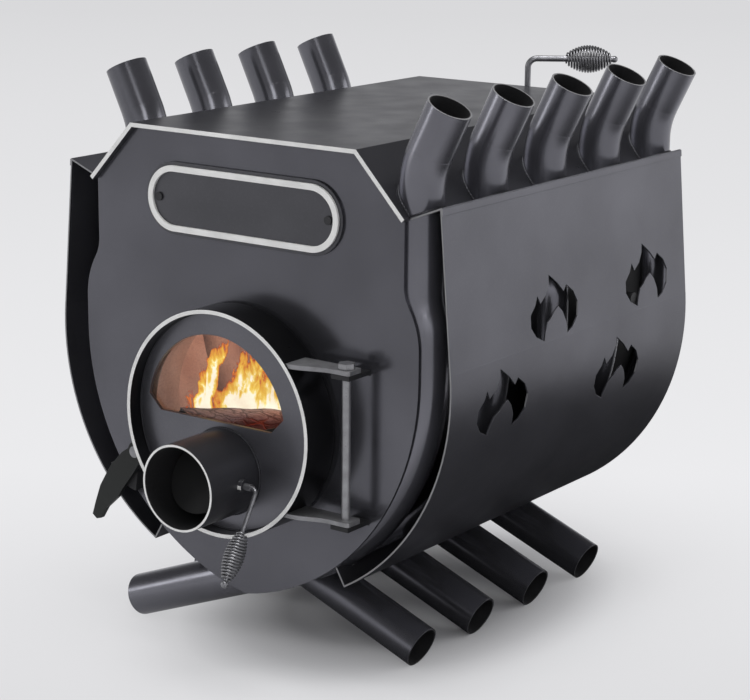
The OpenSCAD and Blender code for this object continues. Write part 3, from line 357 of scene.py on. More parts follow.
def gasket_rope():
    """Braided glass fibre: pale grey-buff yarns, dull and hairy, with darker places where smoke gets in."""
    material, tree = new_material("gasket_rope")
    where = add(tree, "TexCoord")["Object"]
    yarns = add(tree, "TexWave", {"Vector": where, "Scale": 60.0, "Distortion": 1.5}, wave_type="BANDS",
                bands_direction="DIAGONAL")["Fac"]
    tone = add(tree, "Mix", {0: yarns, 6: linear("#8f8b80"), 7: linear("#c4c0b2")}, data_type="RGBA")[2]
    tone = patched(tree, where, tone, linear("#4f4b45"), 14, 0.4, 0.7, most=0.5)
    hairs = add(tree, "TexNoise", {"Vector": where, "Scale": per_mm(0.8), "Detail": 3.0})["Fac"]
    normal = add(tree, "Bump", {"Height": hairs, "Strength": 0.5, "Distance": 0.3 * MM})["Normal"]
    surface = add(tree, "BsdfPrincipled", {"Base Color": tone, "Roughness": 0.95, "Normal": normal,
                                           "Sheen Weight": 0.3})["BSDF"]
    add(tree, "OutputMaterial", {"Surface": surface})
    return material


def woven_tape():
    """Black glass-fibre tape: dull, in a plain weave."""
    material, tree = new_material("woven_tape")
    where = add(tree, "TexCoord")["Object"]
    # Threads of 1.43 mm, coarser than real ones, so that the weave still shows
    weave = add(tree, "TexChecker", {"Vector": where, "Scale": 700.0})["Fac"]
    tone = add(tree, "Mix", {0: weave, 6: linear("#1d1d1d"), 7: linear("#343432")}, data_type="RGBA")[2]
    surface = add(tree, "BsdfPrincipled", {"Base Color": tone, "Roughness": 0.9,
                                           "Sheen Weight": 0.2})["BSDF"]
    add(tree, "OutputMaterial", {"Surface": surface})
    return material


def charred_wood():
    """Burning firewood: brown-grey char cracked into long blocks, red and glowing low at the right."""
    material, tree = new_material("charred_wood")
    where = add(tree, "TexCoord")["Object"]
    jitter = add(tree, "TexNoise", {"Vector": where, "Scale": per_mm(14)})["Color"]
    shove = add(tree, "VectorMath", {0: jitter, "Scale": 9 * MM}, operation="SCALE")[0]
    warped = add(tree, "VectorMath", {0: where, 1: shove}, operation="ADD")[0]
    long = add(tree, "Mapping", {"Vector": warped, "Scale": (0.3, 1, 1)})["Vector"]
    blocks = add(tree, "TexVoronoi", {"Vector": long, "Scale": 120.0},
                 feature="DISTANCE_TO_EDGE")["Distance"]
    crack = add(tree, "MapRange", {"Value": blocks, "From Max": 0.12, "To Min": 0.25})["Result"]
    fibres = add(tree, "Mapping", {"Vector": where, "Scale": (0.08, 1, 1)})["Vector"]
    grain = add(tree, "TexNoise", {"Vector": fibres, "Scale": per_mm(3.0), "Detail": 4.0,
                                   "Roughness": 0.65})["Fac"]
    bark = add(tree, "ValToRGB", {"Fac": grain}, stops=[(0.25, linear("#54484a")), (0.5, linear("#867474")),
                                                        (0.75, linear("#a8989a"))])["Color"]
    tone = add(tree, "Mix", {0: crack, 6: linear("#3c3030"), 7: bark}, data_type="RGBA")[2]
    x, _, z = add(tree, "SeparateXYZ", {0: where})
    # The fire has reached the wood below 264 mm and to the right of x -45 mm, with a soft edge
    under = add(tree, "MapRange", {"Value": z, "From Min": 273 * MM, "From Max": 264 * MM})["Result"]
    beside = add(tree, "MapRange", {"Value": x, "From Min": -78 * MM, "From Max": -45 * MM})["Result"]
    low = add(tree, "Math", {0: under, 1: beside}, operation="MULTIPLY")[0]
    red = add(tree, "Math", {0: low, 1: 0.85}, operation="MULTIPLY")[0]
    tone = add(tree, "Mix", {0: red, 6: tone, 7: linear("#4a1610")}, data_type="RGBA")[2]
    glow = add(tree, "ValToRGB", {"Fac": crack}, stops=[(0.0, linear("#ff8a2a")), (0.45, linear("#a01c08")),
                                                        (1.0, linear("#3a0703"))])["Color"]
    heat = varied(tree, where, 42, 0.35, 0.62, most=0.5, detail=2.0)
    heat = add(tree, "Math", {0: heat, 1: low}, operation="MULTIPLY")[0]
    height = add(tree, "Math", {0: grain, 1: 0.5, 2: crack}, operation="MULTIPLY_ADD")[0]
    normal = add(tree, "Bump", {"Height": height, "Strength": 0.8, "Distance": 1.6 * MM})["Normal"]
    surface = add(tree, "BsdfPrincipled", {"Base Color": tone, "Roughness": 0.82, "Normal": normal,
                                           "Emission Color": glow, "Emission Strength": heat})["BSDF"]
    add(tree, "OutputMaterial", {"Surface": surface})
    return material


def ember_bed():
    """Wood ash over live coals: dull grey powder with lumps that glow orange."""
    material, tree = new_material("ember_bed")
    where = add(tree, "TexCoord")["Object"]
    coals = add(tree, "TexVoronoi", {"Vector": where, "Scale": 60.0}, feature="F1")["Distance"]
    ember = add(tree, "MapRange", {"Value": coals, "From Min": 0.25, "From Max": 0.75})["Result"]
    live = varied(tree, where, 60, 0.4, 0.65, detail=2.0)
    heat = add(tree, "Math", {0: ember, 1: live}, operation="MULTIPLY")[0]
    tone = patched(tree, where, linear("#2a2422"), linear("#8b8078"), 5, 0.0, 1.0, detail=4.0)
    glow = add(tree, "ValToRGB", {"Fac": heat}, stops=[(0.0, linear("#3a0500")), (0.5, linear("#e0450c")),
                                                       (1.0, linear("#ffb04a"))])["Color"]
    power = add(tree, "Math", {0: heat, 1: 2.2}, operation="MULTIPLY")[0]
    normal = add(tree, "Bump", {"Height": coals, "Strength": 0.9, "Distance": 4.0 * MM})["Normal"]
    surface = add(tree, "BsdfPrincipled", {"Base Color": tone, "Roughness": 0.95, "Normal": normal,
                                           "Emission Color": glow, "Emission Strength": power})["BSDF"]
    add(tree, "OutputMaterial", {"Surface": surface})
    return material


def flame():
    """A wood fire's flames on a sheet: leaning tongues, yellow-white inside and orange-red at their rims.

    The sheet's own u runs along the row and v runs up. Heat is how far a point lies below the tongues'
    tops, stirred by streaks and patches. It gives the colour, and the sheet is clear where it is cold.
    """
    material, tree = new_material("flame")
    coords = add(tree, "TexCoord")
    where = coords["Object"]
    u, v, _ = add(tree, "SeparateXYZ", {0: coords["UV"]})
    clouds = {}
    for name, stretch, size_mm, strength, detail, roughness, distortion in (
            ("sway", 0.5, 24, 0.1, 2.0, 0.5, 0.0), ("flicker", 0.6, 8, 0.07, 3.0, 0.5, 0.0),
            ("streaks", 0.34, 9, 1.9, 4.0, 0.6, 1.2), ("patches", 0.7, 15, 1.0, 2.0, 0.5, 0.6)):
        tall = add(tree, "Mapping", {"Vector": where, "Scale": (1, 1, stretch)})["Vector"]
        clouds[name] = varied(tree, tall, size_mm, 0.0, 1.0, -strength / 2, strength / 2, detail, roughness,
                              distortion)
    height = add(tree, "Math", {0: v, 1: v}, operation="MULTIPLY")[0]
    across = add(tree, "Math", {0: height, 1: -0.16, 2: u}, operation="MULTIPLY_ADD")[0]
    shift = add(tree, "Math", {0: clouds["sway"], 1: clouds["flicker"]}, operation="ADD")[0]
    freedom = add(tree, "Math", {0: v, 1: 0.3}, operation="ADD")[0]
    across = add(tree, "Math", {0: shift, 1: freedom, 2: across}, operation="MULTIPLY_ADD")[0]
    tops = [(place, (top, top, top, 1.0)) for place, top in FLAME_TOPS]
    reach = add(tree, "ValToRGB", {"Fac": across}, stops=tops)["Color"]
    inside = add(tree, "Math", {0: reach, 1: v}, operation="SUBTRACT")[0]
    stir = add(tree, "Math", {0: clouds["streaks"], 1: clouds["patches"]}, operation="ADD")[0]
    heat = add(tree, "Math", {0: inside, 1: 2.4, 2: stir}, operation="MULTIPLY_ADD")[0]
    rim = add(tree, "MapRange", {"Value": inside, "From Min": -0.03, "From Max": 0.02})["Result"]
    heat = add(tree, "Math", {0: heat, 1: rim}, operation="MULTIPLY", use_clamp=True)[0]
    colour = add(tree, "ValToRGB", {"Fac": heat}, stops=[
        (0.02, linear("#8c2c12")), (0.12, linear("#d0581c")), (0.24, linear("#e8882c")),
        (0.42, linear("#f0b43c")), (0.68, linear("#f4cc50")), (0.84, linear("#fbe88c")),
        (1.0, linear("#fffce6"))])["Color"]
    strength = add(tree, "MapRange", {"Value": heat, "To Min": 0.8, "To Max": 1.15})["Result"]
    light = add(tree, "Emission", {"Color": colour, "Strength": strength})[0]
    clear = add(tree, "BsdfTransparent")[0]
    solid = add(tree, "MapRange", {"Value": heat, "From Min": 0.01, "From Max": 0.16})["Result"]
    add(tree, "OutputMaterial", {"Surface": add(tree, "MixShader", {0: solid, 1: clear, 2: light})[0]})
    return material


def studio_floor():
    """Pale matt floor with the stove's soft shadow.

    Away from the stove it is lit evenly. Its tone is painted darker near the camera and far off than half a
    metre behind the stove, as a painted falloff of light, and in reflections it is painted dark near the
    stove, as painted shade under the belly.
    """
    material, tree = new_material("studio_floor")
    where = add(tree, "TexCoord")["Object"]
    view = math.radians(VIEW_AZIMUTH)
    away = (-math.sin(view), math.cos(view), 0)
    # Painted falloff of light: the floor's tone is darker near the camera and far off, lightest half a
    # metre behind the stove.
    depth = add(tree, "VectorMath", {0: where, 1: away}, operation="DOT_PRODUCT")["Value"]
    depth = add(tree, "MapRange", {"Value": depth, "From Min": -1.6, "From Max": 8.0})["Result"]
    tone = add(tree, "ValToRGB", {"Fac": depth}, stops=[
        (0.0, linear("#d0d0d2")), (0.1, linear("#dadadc")), (0.22, linear("#ebebed")),
        (0.45, linear("#e4e4e6")), (1.0, linear("#d9d9db"))])["Color"]
    path = add(tree, "LightPath")
    # Painted shade: to glossy rays the floor near the stove's belly is painted dark grey, #2c2c2e.
    painted_belly_shade = add(tree, "VectorMath", {0: where, 1: (0.35, 0.25, 0)}, operation="DISTANCE")["Value"]
    painted_belly_shade = add(tree, "MapRange", {"Value": painted_belly_shade, "From Min": 0.45, "From Max": 0.95, "To Min": 1.0,
                                   "To Max": 0.0})["Result"]
    painted_belly_shade = add(tree, "Math", {0: path["Is Glossy Ray"], 1: painted_belly_shade}, operation="MULTIPLY")[0]
    tone = add(tree, "Mix", {0: painted_belly_shade, 6: tone, 7: linear("#2c2c2e")}, data_type="RGBA")[2]
    matt = add(tree, "BsdfPrincipled", {"Base Color": tone, "Roughness": 0.9,
                                        "Specular IOR Level": 0.0})["BSDF"]
    glow = add(tree, "Emission", {"Color": tone})[0]
    seen = add(tree, "Math", {0: path["Is Camera Ray"], 1: path["Is Glossy Ray"]}, operation="MAXIMUM")[0]
    seen = add(tree, "Math", {0: seen, 1: path["Is Transmission Ray"]}, operation="MAXIMUM")[0]
    oval = add(tree, "VectorMath", {0: where, 1: (1, 0.75, 0), 2: (-0.04, 0, 0)},
               operation="MULTIPLY_ADD")[0]
    out = add(tree, "VectorMath", {0: oval}, operation="LENGTH")["Value"]
    shares = ((0.13, 0.0), (0.19, 0.25), (0.25, 0.66), (0.32, 0.82), (0.6, 0.92), (1.0, 1.0))
    stops = [(place, (share, share, share, 1.0)) for place, share in shares]
    far = add(tree, "ValToRGB", {"Fac": out}, stops=stops)["Color"]
    even = add(tree, "Math", {0: seen, 1: far}, operation="MULTIPLY")[0]
    add(tree, "OutputMaterial", {"Surface": add(tree, "MixShader", {0: even, 1: matt, 2: glow})[0]})
    return material


def row_point(x, y, z):
    return Vector((x, y, z)) * MM


def mesh_object(name, bm, material, body, smooth=True):
    """A new piece from a bmesh, with its finish, that rides on a body."""
    mesh = bpy.data.meshes.new(name)
    bmesh.ops.recalc_face_normals(bm, faces=bm.faces)
    bm.to_mesh(mesh)
    bm.free()
    for polygon in mesh.polygons:
        polygon.use_smooth = smooth
    piece = bpy.data.objects.new(name, mesh)
    bpy.context.scene.collection.objects.link(piece)
    mesh.materials.append(material)
    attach(piece, body)
    return piece


def round_bar(name, paths, radius_at, material, body, sides=3, closed=False):
    """Round bars along paths, as one piece. radius_at gives the radius in metres at a point's number."""
    curve = bpy.data.curves.new(name, "CURVE")
    curve.dimensions = "3D"
    curve.bevel_depth = 1.0
    curve.bevel_resolution = sides
    curve.use_fill_caps = True
    for path in paths:
        spline = curve.splines.new("POLY")
        spline.points.add(len(path) - 1)
        spline.use_cyclic_u = closed
        for number, (point, place) in enumerate(zip(spline.points, path)):
            point.co = (*place, 1.0)
            point.radius = radius_at(number)
    bar = bpy.data.objects.new(name, curve)
    bm = bmesh.new()
    bm.from_mesh(bpy.data.meshes.new_from_object(bar))
    bpy.data.objects.remove(bar)
    bmesh.ops.remove_doubles(bm, verts=bm.verts, dist=1e-6)
    return mesh_object(name, bm, material, body)


def circle_path(centre, radius, across, up, count):
    return [centre + radius * (math.cos(TAU * i / count) * across + math.sin(TAU * i / count) * up)
            for i in range(count)]


def straight_path(start, end, step_mm=0.9):
    a, b = Vector(start) * MM, Vector(end) * MM
    count = max(2, int((b - a).length / MM / step_mm))
    return [a.lerp(b, i / count) for i in range(count + 1)]


def weld_bead(name, points, body, radius=1.9, closed=True):
    """A weld bead with the ripples of its run."""
    step = (points[1] - points[0]).length / MM
    return round_bar(name, [points],
                     lambda i: radius * MM * (1 + RIPPLE_DEPTH * math.sin(TAU * i * step / RIPPLE)),
                     MATERIALS["weld"], body, 1, closed)


def set_camera():
    azimuth, drop, roll = math.radians(VIEW_AZIMUTH), math.radians(VIEW_DROP), math.radians(VIEW_ROLL)
    forward = Vector((-math.sin(azimuth) * math.cos(drop), math.cos(azimuth) * math.cos(drop),
                      -math.sin(drop)))
    right = forward.cross(Vector((0, 0, 1))).normalized()
    up = right.cross(forward)
    turned_right = math.cos(roll) * right + math.sin(roll) * up
    turned_up = -math.sin(roll) * right + math.cos(roll) * up
    data = bpy.data.cameras.new("camera")
    data.lens = LENS
    data.sensor_width = 36.0
    data.sensor_fit = "HORIZONTAL"
    data.clip_start = 0.05
    data.clip_end = 120.0
    camera = bpy.data.objects.new("camera", data)
    bpy.context.scene.collection.objects.link(camera)
    turn = Matrix((turned_right, turned_up, -forward)).transposed()
    camera.matrix_world = Matrix.Translation(CAMERA_PLACE) @ turn.to_4x4()
    bpy.context.scene.camera = camera


def new_light(name, kind, place, target, power, **settings):
    """A lamp at a place, turned to a target and not seen itself."""
    data = bpy.data.lights.new(name, kind)
    data.energy = power
    for setting, value in settings.items():
        setattr(data, setting, value)
    light = bpy.data.objects.new(name, data)
    bpy.context.scene.collection.objects.link(light)
    light.visible_camera = False
    light.location = place
    light.rotation_euler = (Vector(target) - Vector(place)).to_track_quat("-Z", "Y").to_euler()


def make_world():
    """Even light for matt surfaces, and a bright horizon under a dark ceiling for glossy ones."""
    world = bpy.data.worlds.new("studio")
    world.use_nodes = True
    tree = world.node_tree
    tree.nodes.clear()
    x, _, z = add(tree, "SeparateXYZ", {0: add(tree, "TexCoord")["Generated"]})
    height = add(tree, "MapRange", {"Value": z, "From Min": -1.0})["Result"]
    greys = ((0.0, 0.95), (0.5, 1.0), (0.56, 0.72), (0.61, 0.34), (0.68, 0.15), (0.8, 0.1), (1.0, 0.1))
    stops = [(place, (grey, grey, grey * 1.03, 1.0)) for place, grey in greys]
    ceiling = add(tree, "ValToRGB", {"Fac": height}, stops=stops)["Color"]
    side = add(tree, "MapRange", {"Value": x, "From Min": -1.0, "To Min": 0.75, "To Max": 1.35})["Result"]
    path = add(tree, "LightPath")
    glossy = path["Is Glossy Ray"]
    straight = add(tree, "Math", {0: path["Is Camera Ray"], 1: path["Is Transmission Ray"]},
                   operation="MAXIMUM")[0]
    matt = add(tree, "MapRange", {"Value": straight, "To Min": 0.42, "To Max": 0.7})["Result"]
    strength = add(tree, "Mix", {0: glossy, 2: matt, 3: side}, data_type="FLOAT")[0]
    colour = add(tree, "Mix", {0: glossy, 6: (0.98, 0.98, 1.0, 1.0), 7: ceiling}, data_type="RGBA")[2]
    background = add(tree, "Background", {"Color": colour, "Strength": strength})[0]
    add(tree, "OutputWorld", {"Surface": background})
    bpy.context.scene.world = world


def set_stage():
    scene = bpy.context.scene
    scene.view_settings.view_transform = "Standard"
    make_world()
    bm = bmesh.new()
    bmesh.ops.create_grid(bm, x_segments=2, y_segments=2, size=60.0)
    mesh = bpy.data.meshes.new("floor")
    bm.to_mesh(mesh)
    bm.free()
    floor = bpy.data.objects.new("floor", mesh)
    scene.collection.objects.link(floor)
    mesh.materials.append(studio_floor())
    for name, place, target, size, power in (
            ("top", (0.3, -0.3, 4.0), (0, 0, 0.3), (1.8, 1.8), 105),
            ("back_right", (2.6, 2.6, 1.3), (0, 0, 0.45), (2.2, 1.4), 22),
            ("front_right", (2.8, -3.4, 2.1), (0, 0, 0.45), (1.4, 1.4), 22),
            ("front_left", (-3.6, -2.8, 1.8), (0, 0, 0.35), (1.2, 2.4), 30)):
        new_light(name, "AREA", place, target, power, shape="RECTANGLE", size=size[0], size_y=size[1])


def spring_grip(name, node, grip, place, body):
    """A barrel-shaped spring of round wire, wound close at its ends."""
    length, widest, rod = grip
    wide_r = (widest - SPRING_WIRE) / 2
    end_r = (rod + SPRING_WIRE) / 2 + 0.3
    per_turn = 26
    total = SPRING_TURNS * per_turn
    points = []
    for i in range(total + 1):
        u = i / total
        r = end_r + (wide_r - end_r) * math.sin(math.pi * u) ** 0.8
        a = TAU * SPRING_TURNS * u
        up = SPRING_WIRE / 2 + u * (length - SPRING_WIRE)
        points.append(place @ Vector((r * math.cos(a), r * math.sin(a), up)) * MM)
    wire_r = SPRING_WIRE / 2 * MM
    piece = round_bar(name, [points], lambda i: wire_r * min(1.0, 0.55 + 0.15 * min(i, total - i)),
                      MATERIALS["spring"], body)
    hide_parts(node)


def make_grips():
    throttle = (Matrix.Translation((0, *THROTTLE_AXLE))
                @ Matrix.Rotation(math.radians(180 - THROTTLE_TILT), 4, "X")
                @ Matrix.Translation((THROTTLE_X, 0, THROTTLE_STEM)))
    spring_grip("throttle_spring", "throttle_grip", THROTTLE_GRIP, throttle, "throttle")
    damper = (Matrix.Translation((*DAMPER_AXIS, DAMPER_Z))
              @ Matrix.Rotation(math.radians(DAMPER_TURN), 4, "Z")
              @ Matrix.Rotation(math.radians(90), 4, "Y") @ Matrix.Translation((0, 0, DAMPER_STEM)))
    spring_grip("damper_spring", "damper_grip", DAMPER_GRIP, damper, "damper")


def make_gasket():
    """Rope braided of four strands, pressed into its channel."""
    low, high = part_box("door_gasket")
    centre = Vector((0, (low.y + high.y) / 2, DOOR_Z * MM))
    outer = (high.x - low.x) / 2
    inner = GASKET_INNER_R * MM
    mid_r, half_w, half_d = (outer + inner) / 2, (outer - inner) / 2, (high.y - low.y) / 2
    count, twist, strand_count = 900, 64, 4
    strands = []
    for strand in range(strand_count):
        points = []
        for i in range(count):
            a = TAU * i / count
            b = twist * a + TAU * strand / strand_count
            r = mid_r + 0.5 * half_w * math.cos(b)
            points.append(centre + Vector((r * math.cos(a), 0.45 * half_d * math.sin(b), r * math.sin(a))))
        strands.append(points)
    piece = round_bar("braided_gasket", strands, lambda i: 0.46 * half_d, MATERIALS["rope"], "door",
                      1, closed=True)
    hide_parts("door_gasket")


def make_tape():
    """Woven tape round the window's edge, between the door plate and the glass."""
    low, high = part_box("glass_tape")
    slack = 0.1 * MM
    bm = bmesh.new()
    bmesh.ops.create_circle(bm, cap_ends=True, segments=144, radius=GLASS_R * MM)
    geometry = bm.verts[:] + bm.edges[:] + bm.faces[:]
    bmesh.ops.bisect_plane(bm, geom=geometry, plane_co=(0, -GLASS_LAP * MM, 0), plane_no=(0, -1, 0),
                           clear_outer=True)
    band = bmesh.ops.inset_region(bm, faces=bm.faces[:], thickness=GLASS_LAP * MM, use_boundary=True,
                                  use_even_offset=True)["faces"]
    bmesh.ops.delete(bm, geom=[face for face in bm.faces if face not in band], context="FACES")
    sheet = bmesh.ops.extrude_face_region(bm, geom=bm.faces[:])["geom"]
    raised = [item for item in sheet if isinstance(item, bmesh.types.BMVert)]
    bmesh.ops.translate(bm, verts=raised, vec=(0, 0, high.y - low.y - slack))
    place = Matrix.Translation((GLASS_CENTRE[0] * MM, high.y - slack / 2, GLASS_CENTRE[1] * MM))
    bmesh.ops.transform(bm, matrix=place @ Matrix.Rotation(math.radians(90), 4, "X"), verts=bm.verts)
    piece = mesh_object("window_tape", bm, MATERIALS["tape"], "door", smooth=False)
    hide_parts("glass_tape")


def tube_seam(side, tube_y):
    """The line where a tube passes through the hood's sloped sheet and its flange."""
    radius, count, points = TUBE_R + 0.2, 180, []
    for i in range(count):
        a = TAU * i / count
        x = NECK_X + radius * math.cos(a)
        past = x - SHOULDER[0]
        z = SHOULDER[1] + (FLANGE_RISE * past + 1.0 if past > 0 else -CHAMFER_FALL * past)
        points.append(row_point(side * x, tube_y + radius * math.sin(a), z))
    return points


def make_welds():
    for side, name in ((1, "right"), (-1, "left")):
        first_y, count = TUBE_ROWS[side]
        for k in range(count):
            weld_bead(f"weld_tube_{name}_{k + 1}", tube_seam(side, first_y + TUBE_PITCH * k), "stove", 2.2)
    for name, centre, radius, count, body, bead in (
            ("weld_collar", (0, FRONT_Y, DOOR_Z), COLLAR_R + 0.2, 620, "stove", 2.0),
            ("weld_pipe", (0, DOOR_PLATE_Y, PIPE_Z), PIPE_R + 0.2, 320, "door", 1.9),
            ("weld_door_plate", (0, DOOR_PLATE_Y, DOOR_Z), DOOR_PLATE_R, 700, "door", 1.2),
            ("weld_flue", (0, REAR_BACK_Y, FLUE_Z), FLUE_R + 0.2, 360, "stove", 2.2)):
        path = circle_path(row_point(*centre), radius * MM, Vector((1, 0, 0)), Vector((0, 0, 1)), count)
        weld_bead(name, path, body, bead)
    for name, z in LUG_SEAM_Z.items():
        start, end = [(x, FRONT_Y - 0.2, z) for x in LUG_SEAM_X]
        weld_bead(f"weld_lug_{name}", straight_path(start, end), "stove", 1.5, closed=False)
    for side, name in ((-1, "left"), (1, "right")):
        start, end = [(side * x, FRONT_Y - 0.3, z) for x, z in HOOD_SEAM]
        weld_bead(f"weld_hood_{name}", straight_path(start, end), "stove", 1.2, closed=False)


def make_log(name, start, end, radius, seed):
    """A split log: a bent, knotty, three-sided bar."""
    random.seed(seed)
    a, b = Vector(start) * MM, Vector(end) * MM
    turn = random.uniform(0, TAU)
    length = (b - a).length
    bm = bmesh.new()
    bmesh.ops.create_cone(bm, cap_ends=True, segments=30, radius1=radius * MM, radius2=radius * MM,
                          depth=length)
    sides = [edge for edge in bm.edges if abs(edge.verts[0].co.z - edge.verts[1].co.z) > length / 2]
    bmesh.ops.subdivide_edges(bm, edges=sides, cuts=39)
    for vert in bm.verts:
        u = vert.co.z / length + 0.5
        t = math.atan2(vert.co.y, vert.co.x)
        wedge = 1 - 0.2 * math.cos(3 * (t + turn)) - 0.05 * math.cos(6 * (t + turn))
        lump = noise.noise(Vector((u * 9, math.cos(t) * 1.4 + seed, math.sin(t) * 1.4)))
        vert.co.xy *= wedge + 0.14 * lump
        vert.co.x += 6 * MM * math.sin(3.1 * u + seed)
        vert.co.y += 5 * MM * math.sin(4.3 * u + 2 * seed)
    place = Matrix.Translation((a + b) / 2) @ (b - a).to_track_quat("Z", "Y").to_matrix().to_4x4()
    bmesh.ops.transform(bm, matrix=place, verts=bm.verts)
    mesh_object(name, bm, MATERIALS["log"], "stove")


def make_ember_bed():
    """Ash and coals heaped on the firebox's bottom."""
    half_x, y0, y1 = 132.0, -200.0, 276.0
    foot, heap, lumps = 172, 16, 6
    bm = bmesh.new()
    bmesh.ops.create_grid(bm, x_segments=70, y_segments=100, size=1.0)
    for vert in bm.verts:
        u = vert.co.x
        x, y = half_x * u, y0 + (y1 - y0) * (vert.co.y + 1) / 2
        lump = noise.noise(Vector((x / 22, y / 22, 0.0))) + 0.5 * noise.noise(Vector((x / 9, y / 9, 4.0)))
        vert.co = row_point(x, y, foot + heap * (1 - u * u) + lumps * lump)
    mesh_object("ember_bed", bm, MATERIALS["ash"], "stove")


def make_flame_sheet(name, left, right, foot, top, sag):
    """A waving sheet that stands along a line and carries a row of flames, drawn by its material."""
    bm = bmesh.new()
    bm.loops.layers.uv.new("sheet")
    bmesh.ops.create_grid(bm, x_segments=60, y_segments=30, size=1.0, calc_uvs=True)
    start, end = Vector((*left, 0)), Vector((*right, 0))
    for vert in bm.verts:
        u, v = (vert.co.x + 1) / 2, (vert.co.y + 1) / 2
        wave = math.sin(7.3 * u + 0.05 * left[1]) + 0.5 * math.sin(17 * u + 3 * v)
        place = start.lerp(end, u)
        vert.co = row_point(place.x, place.y + sag * wave * v, foot + (top - foot) * v)
    mesh_object(name, bm, MATERIALS["flame"], "stove")


def make_fire():
    """Logs, coals and flames in the firebox, and the light that they throw on its left wall."""
    make_ember_bed()
    make_log("log_front", (-152, -232, 239), (142, -118, 246), 26, 3)
    make_log("log_under", (-140, -150, 214), (132, -190, 214), 34, 6)
    make_log("log_back", (-128, -62, 222), (138, -76, 226), 38, 8)
    make_log("log_cross", (-60, -176, 262), (84, 20, 262), 25, 5)
    make_flame_sheet("flames_front", (-148, -234), (142, -115), 262, 392, 3)
    make_flame_sheet("flames_second", (-104, -180), (146, -92), 258, 388, 6)
    make_flame_sheet("flames_third", (-66, -120), (140, -40), 250, 384, 8)
    make_flame_sheet("flames_back", (-110, -20), (120, -10), 230, 372, 10)
    fire_glow = {"color": (1.0, 0.62, 0.5), "spot_size": math.radians(130), "spot_blend": 0.6,
                 "shadow_soft_size": 0.04}
    new_light("fire_light_1", "SPOT", (0.05, -0.2, 0.36), (-0.2, -0.16, 0.31), 0.75, **fire_glow)
    new_light("fire_light_2", "SPOT", (0.05, -0.03, 0.36), (-0.22, -0.04, 0.3), 3.2, **fire_glow)


MATERIALS = {
    "weld": paint("weld_paint", "#3a3a3e", 0.4),
    "spring": drawn_steel("spring_steel", "#8e8e91", 0.34),
    "rope": gasket_rope(),
    "tape": woven_tape(),
    "log": charred_wood(),
    "ash": ember_bed(),
    "flame": flame(),
}


def tube_paint(name, colour, side):
    """The tubes' paint: a painted highlight on the end faces, near-black painted shade inside the bores,
    and dusty where it faces the fire.
    """
    lean, slope = math.radians(MOUTH_LEAN), math.radians(FOOT_SLOPE)
    # Painted highlight: the tubes' end faces are painted pale, brighter at the mouths than at the feet.
    highlit_ends = [((side * math.sin(lean), 0, math.cos(lean)), (665, 25), "#8f8f91"),
            ((-side * math.cos(slope), 0, -math.sin(slope)), (27.5, 32.5), "#4a4a4d")]
    return paint(name, colour, 0.22, 0.2, highlit_ends, soot_or_shade=tube_bores(side), ashed=fire_side(side))


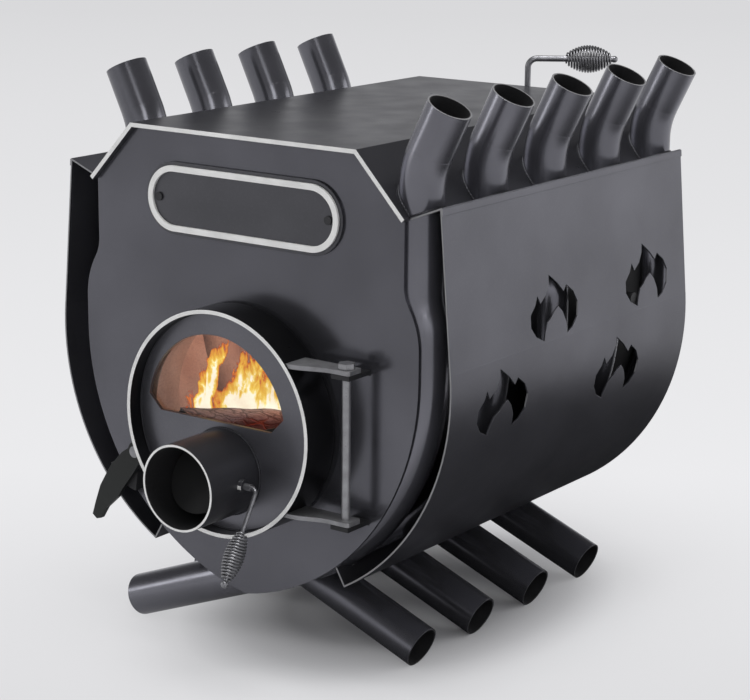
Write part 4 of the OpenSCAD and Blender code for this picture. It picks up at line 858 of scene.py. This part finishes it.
def dress_nodes():
    """Gives every carried-over solid its finish."""
    front = (0, -1, 0)
    bright_front = (front, None, "#f2f2f0")
    # A dim painted highlight along the casings' front faces.
    dim_highlight_front = (front, None, "#8a8a8c")
    for material, names in (
            (paint("hood_paint", "#525257", 0.3, 0.4, [bright_front]),
             ["cooking_plate", "chamfer_left", "chamfer_right"]),
            (paint("plate_paint", "#616167", 0.2), ["front_plate", "rear_plate"]),
            (paint("casing_paint", "#606066", 0.34, cuts=[dim_highlight_front]), ["casing_left", "casing_right"]),
            # One tube paint in two tones, as painted light and shade: lighter on the right, darker on the
            # left.
            (tube_paint("tube_paint_right", "#76767d", 1), [f"tube_right_{k}" for k in range(1, 6)]),
            (tube_paint("tube_paint_left", "#68686e", -1), [f"tube_left_{k}" for k in range(1, 5)]),
            # The door ring is painted near-black as painted shade on its side.
            (paint("ring_paint", "#262628", 0.3, 0.2, [bright_front]), ["door_ring"]),
            # The air pipe's bore is painted near-black as painted shade.
            (paint("pipe_paint", "#38383c", 0.36, 0.2, [bright_front], 0.45,
                   soot_or_shade=round_bore(PIPE_Z, PIPE_BORE_R)), ["air_pipe"]),
            # The door plate's tone is raised above the front plate's as painted light.
            (paint("door_paint", "#6c6c72"), ["door_plate"]),
            # The collar is painted near-black as painted shade where it shows between the door ring and the
            # front plate.
            (paint("collar_paint", "#262628", 0.4, ashed=round_bore(DOOR_Z, COLLAR_BORE_R)),
             ["door_collar", "gasket_channel"]),
            # The hinge lugs are painted near-black as painted shade, to sink into the shadow beside the
            # door ring.
            (paint("dark_paint", "#2c2c2e", 0.5, 0.1, metallic=0.5),
             ["hinge_lugs", "casing_spacers", "latch_bracket", "latch_keeper", "glass_clips",
              "glass_screws"]),
            (paint("soot_paint", "#141415", 0.75, metallic=0.1),
             ["baffle_plate", "baffle_rails", "ash_sill", "air_deflector", "throttle_disc",
              "damper_disc"]),
            (paint("strip_paint_right", "#29292b", 0.5, metallic=0.5, ashed=fire_side(1)),
             ["wall_strips_right"]),
            (paint("strip_paint_left", "#29292b", 0.5, metallic=0.5, ashed=fire_side(-1)),
             ["wall_strips_left"]),
            (paint("latch_paint", "#202221", 0.42, 0.3, metallic=0.5), ["latch_handle"]),
            (paint("name_paint", "#545458", 0.34, 0.2), ["nameplate"]),
            (paint("flue_paint", "#545458", 0.34, 0.3, soot_or_shade=round_bore(FLUE_Z, FLUE_BORE_R)),
             ["flue_outlet"]),
            (ground_steel("rim_steel", "#f4f4f2"), ["nameplate_rim"]),
            (drawn_steel("screw_steel", "#3c3c3e", 0.5, 0.6), ["nameplate_screws"]),
            (drawn_steel("arm_steel", "#9a9a9d", 0.4, 0.7),
             ["hinge_arm_upper", "hinge_arm_lower", "latch_pivot"]),
            (drawn_steel("bolt_steel", "#a5a5a8", 0.32, 0.8), ["hinge_pin"]),
            (drawn_steel("rod_steel", "#8c8c90", 0.34, 0.8), ["throttle_rod", "damper_rod"]),
            (fire_glass(), ["door_glass"])):
        for name in names:
            for slot in NODES[name].material_slots:
                slot.material = material


set_camera()
set_stage()
dress_nodes()
make_grips()
make_gasket()
make_tape()
make_welds()
make_fire()
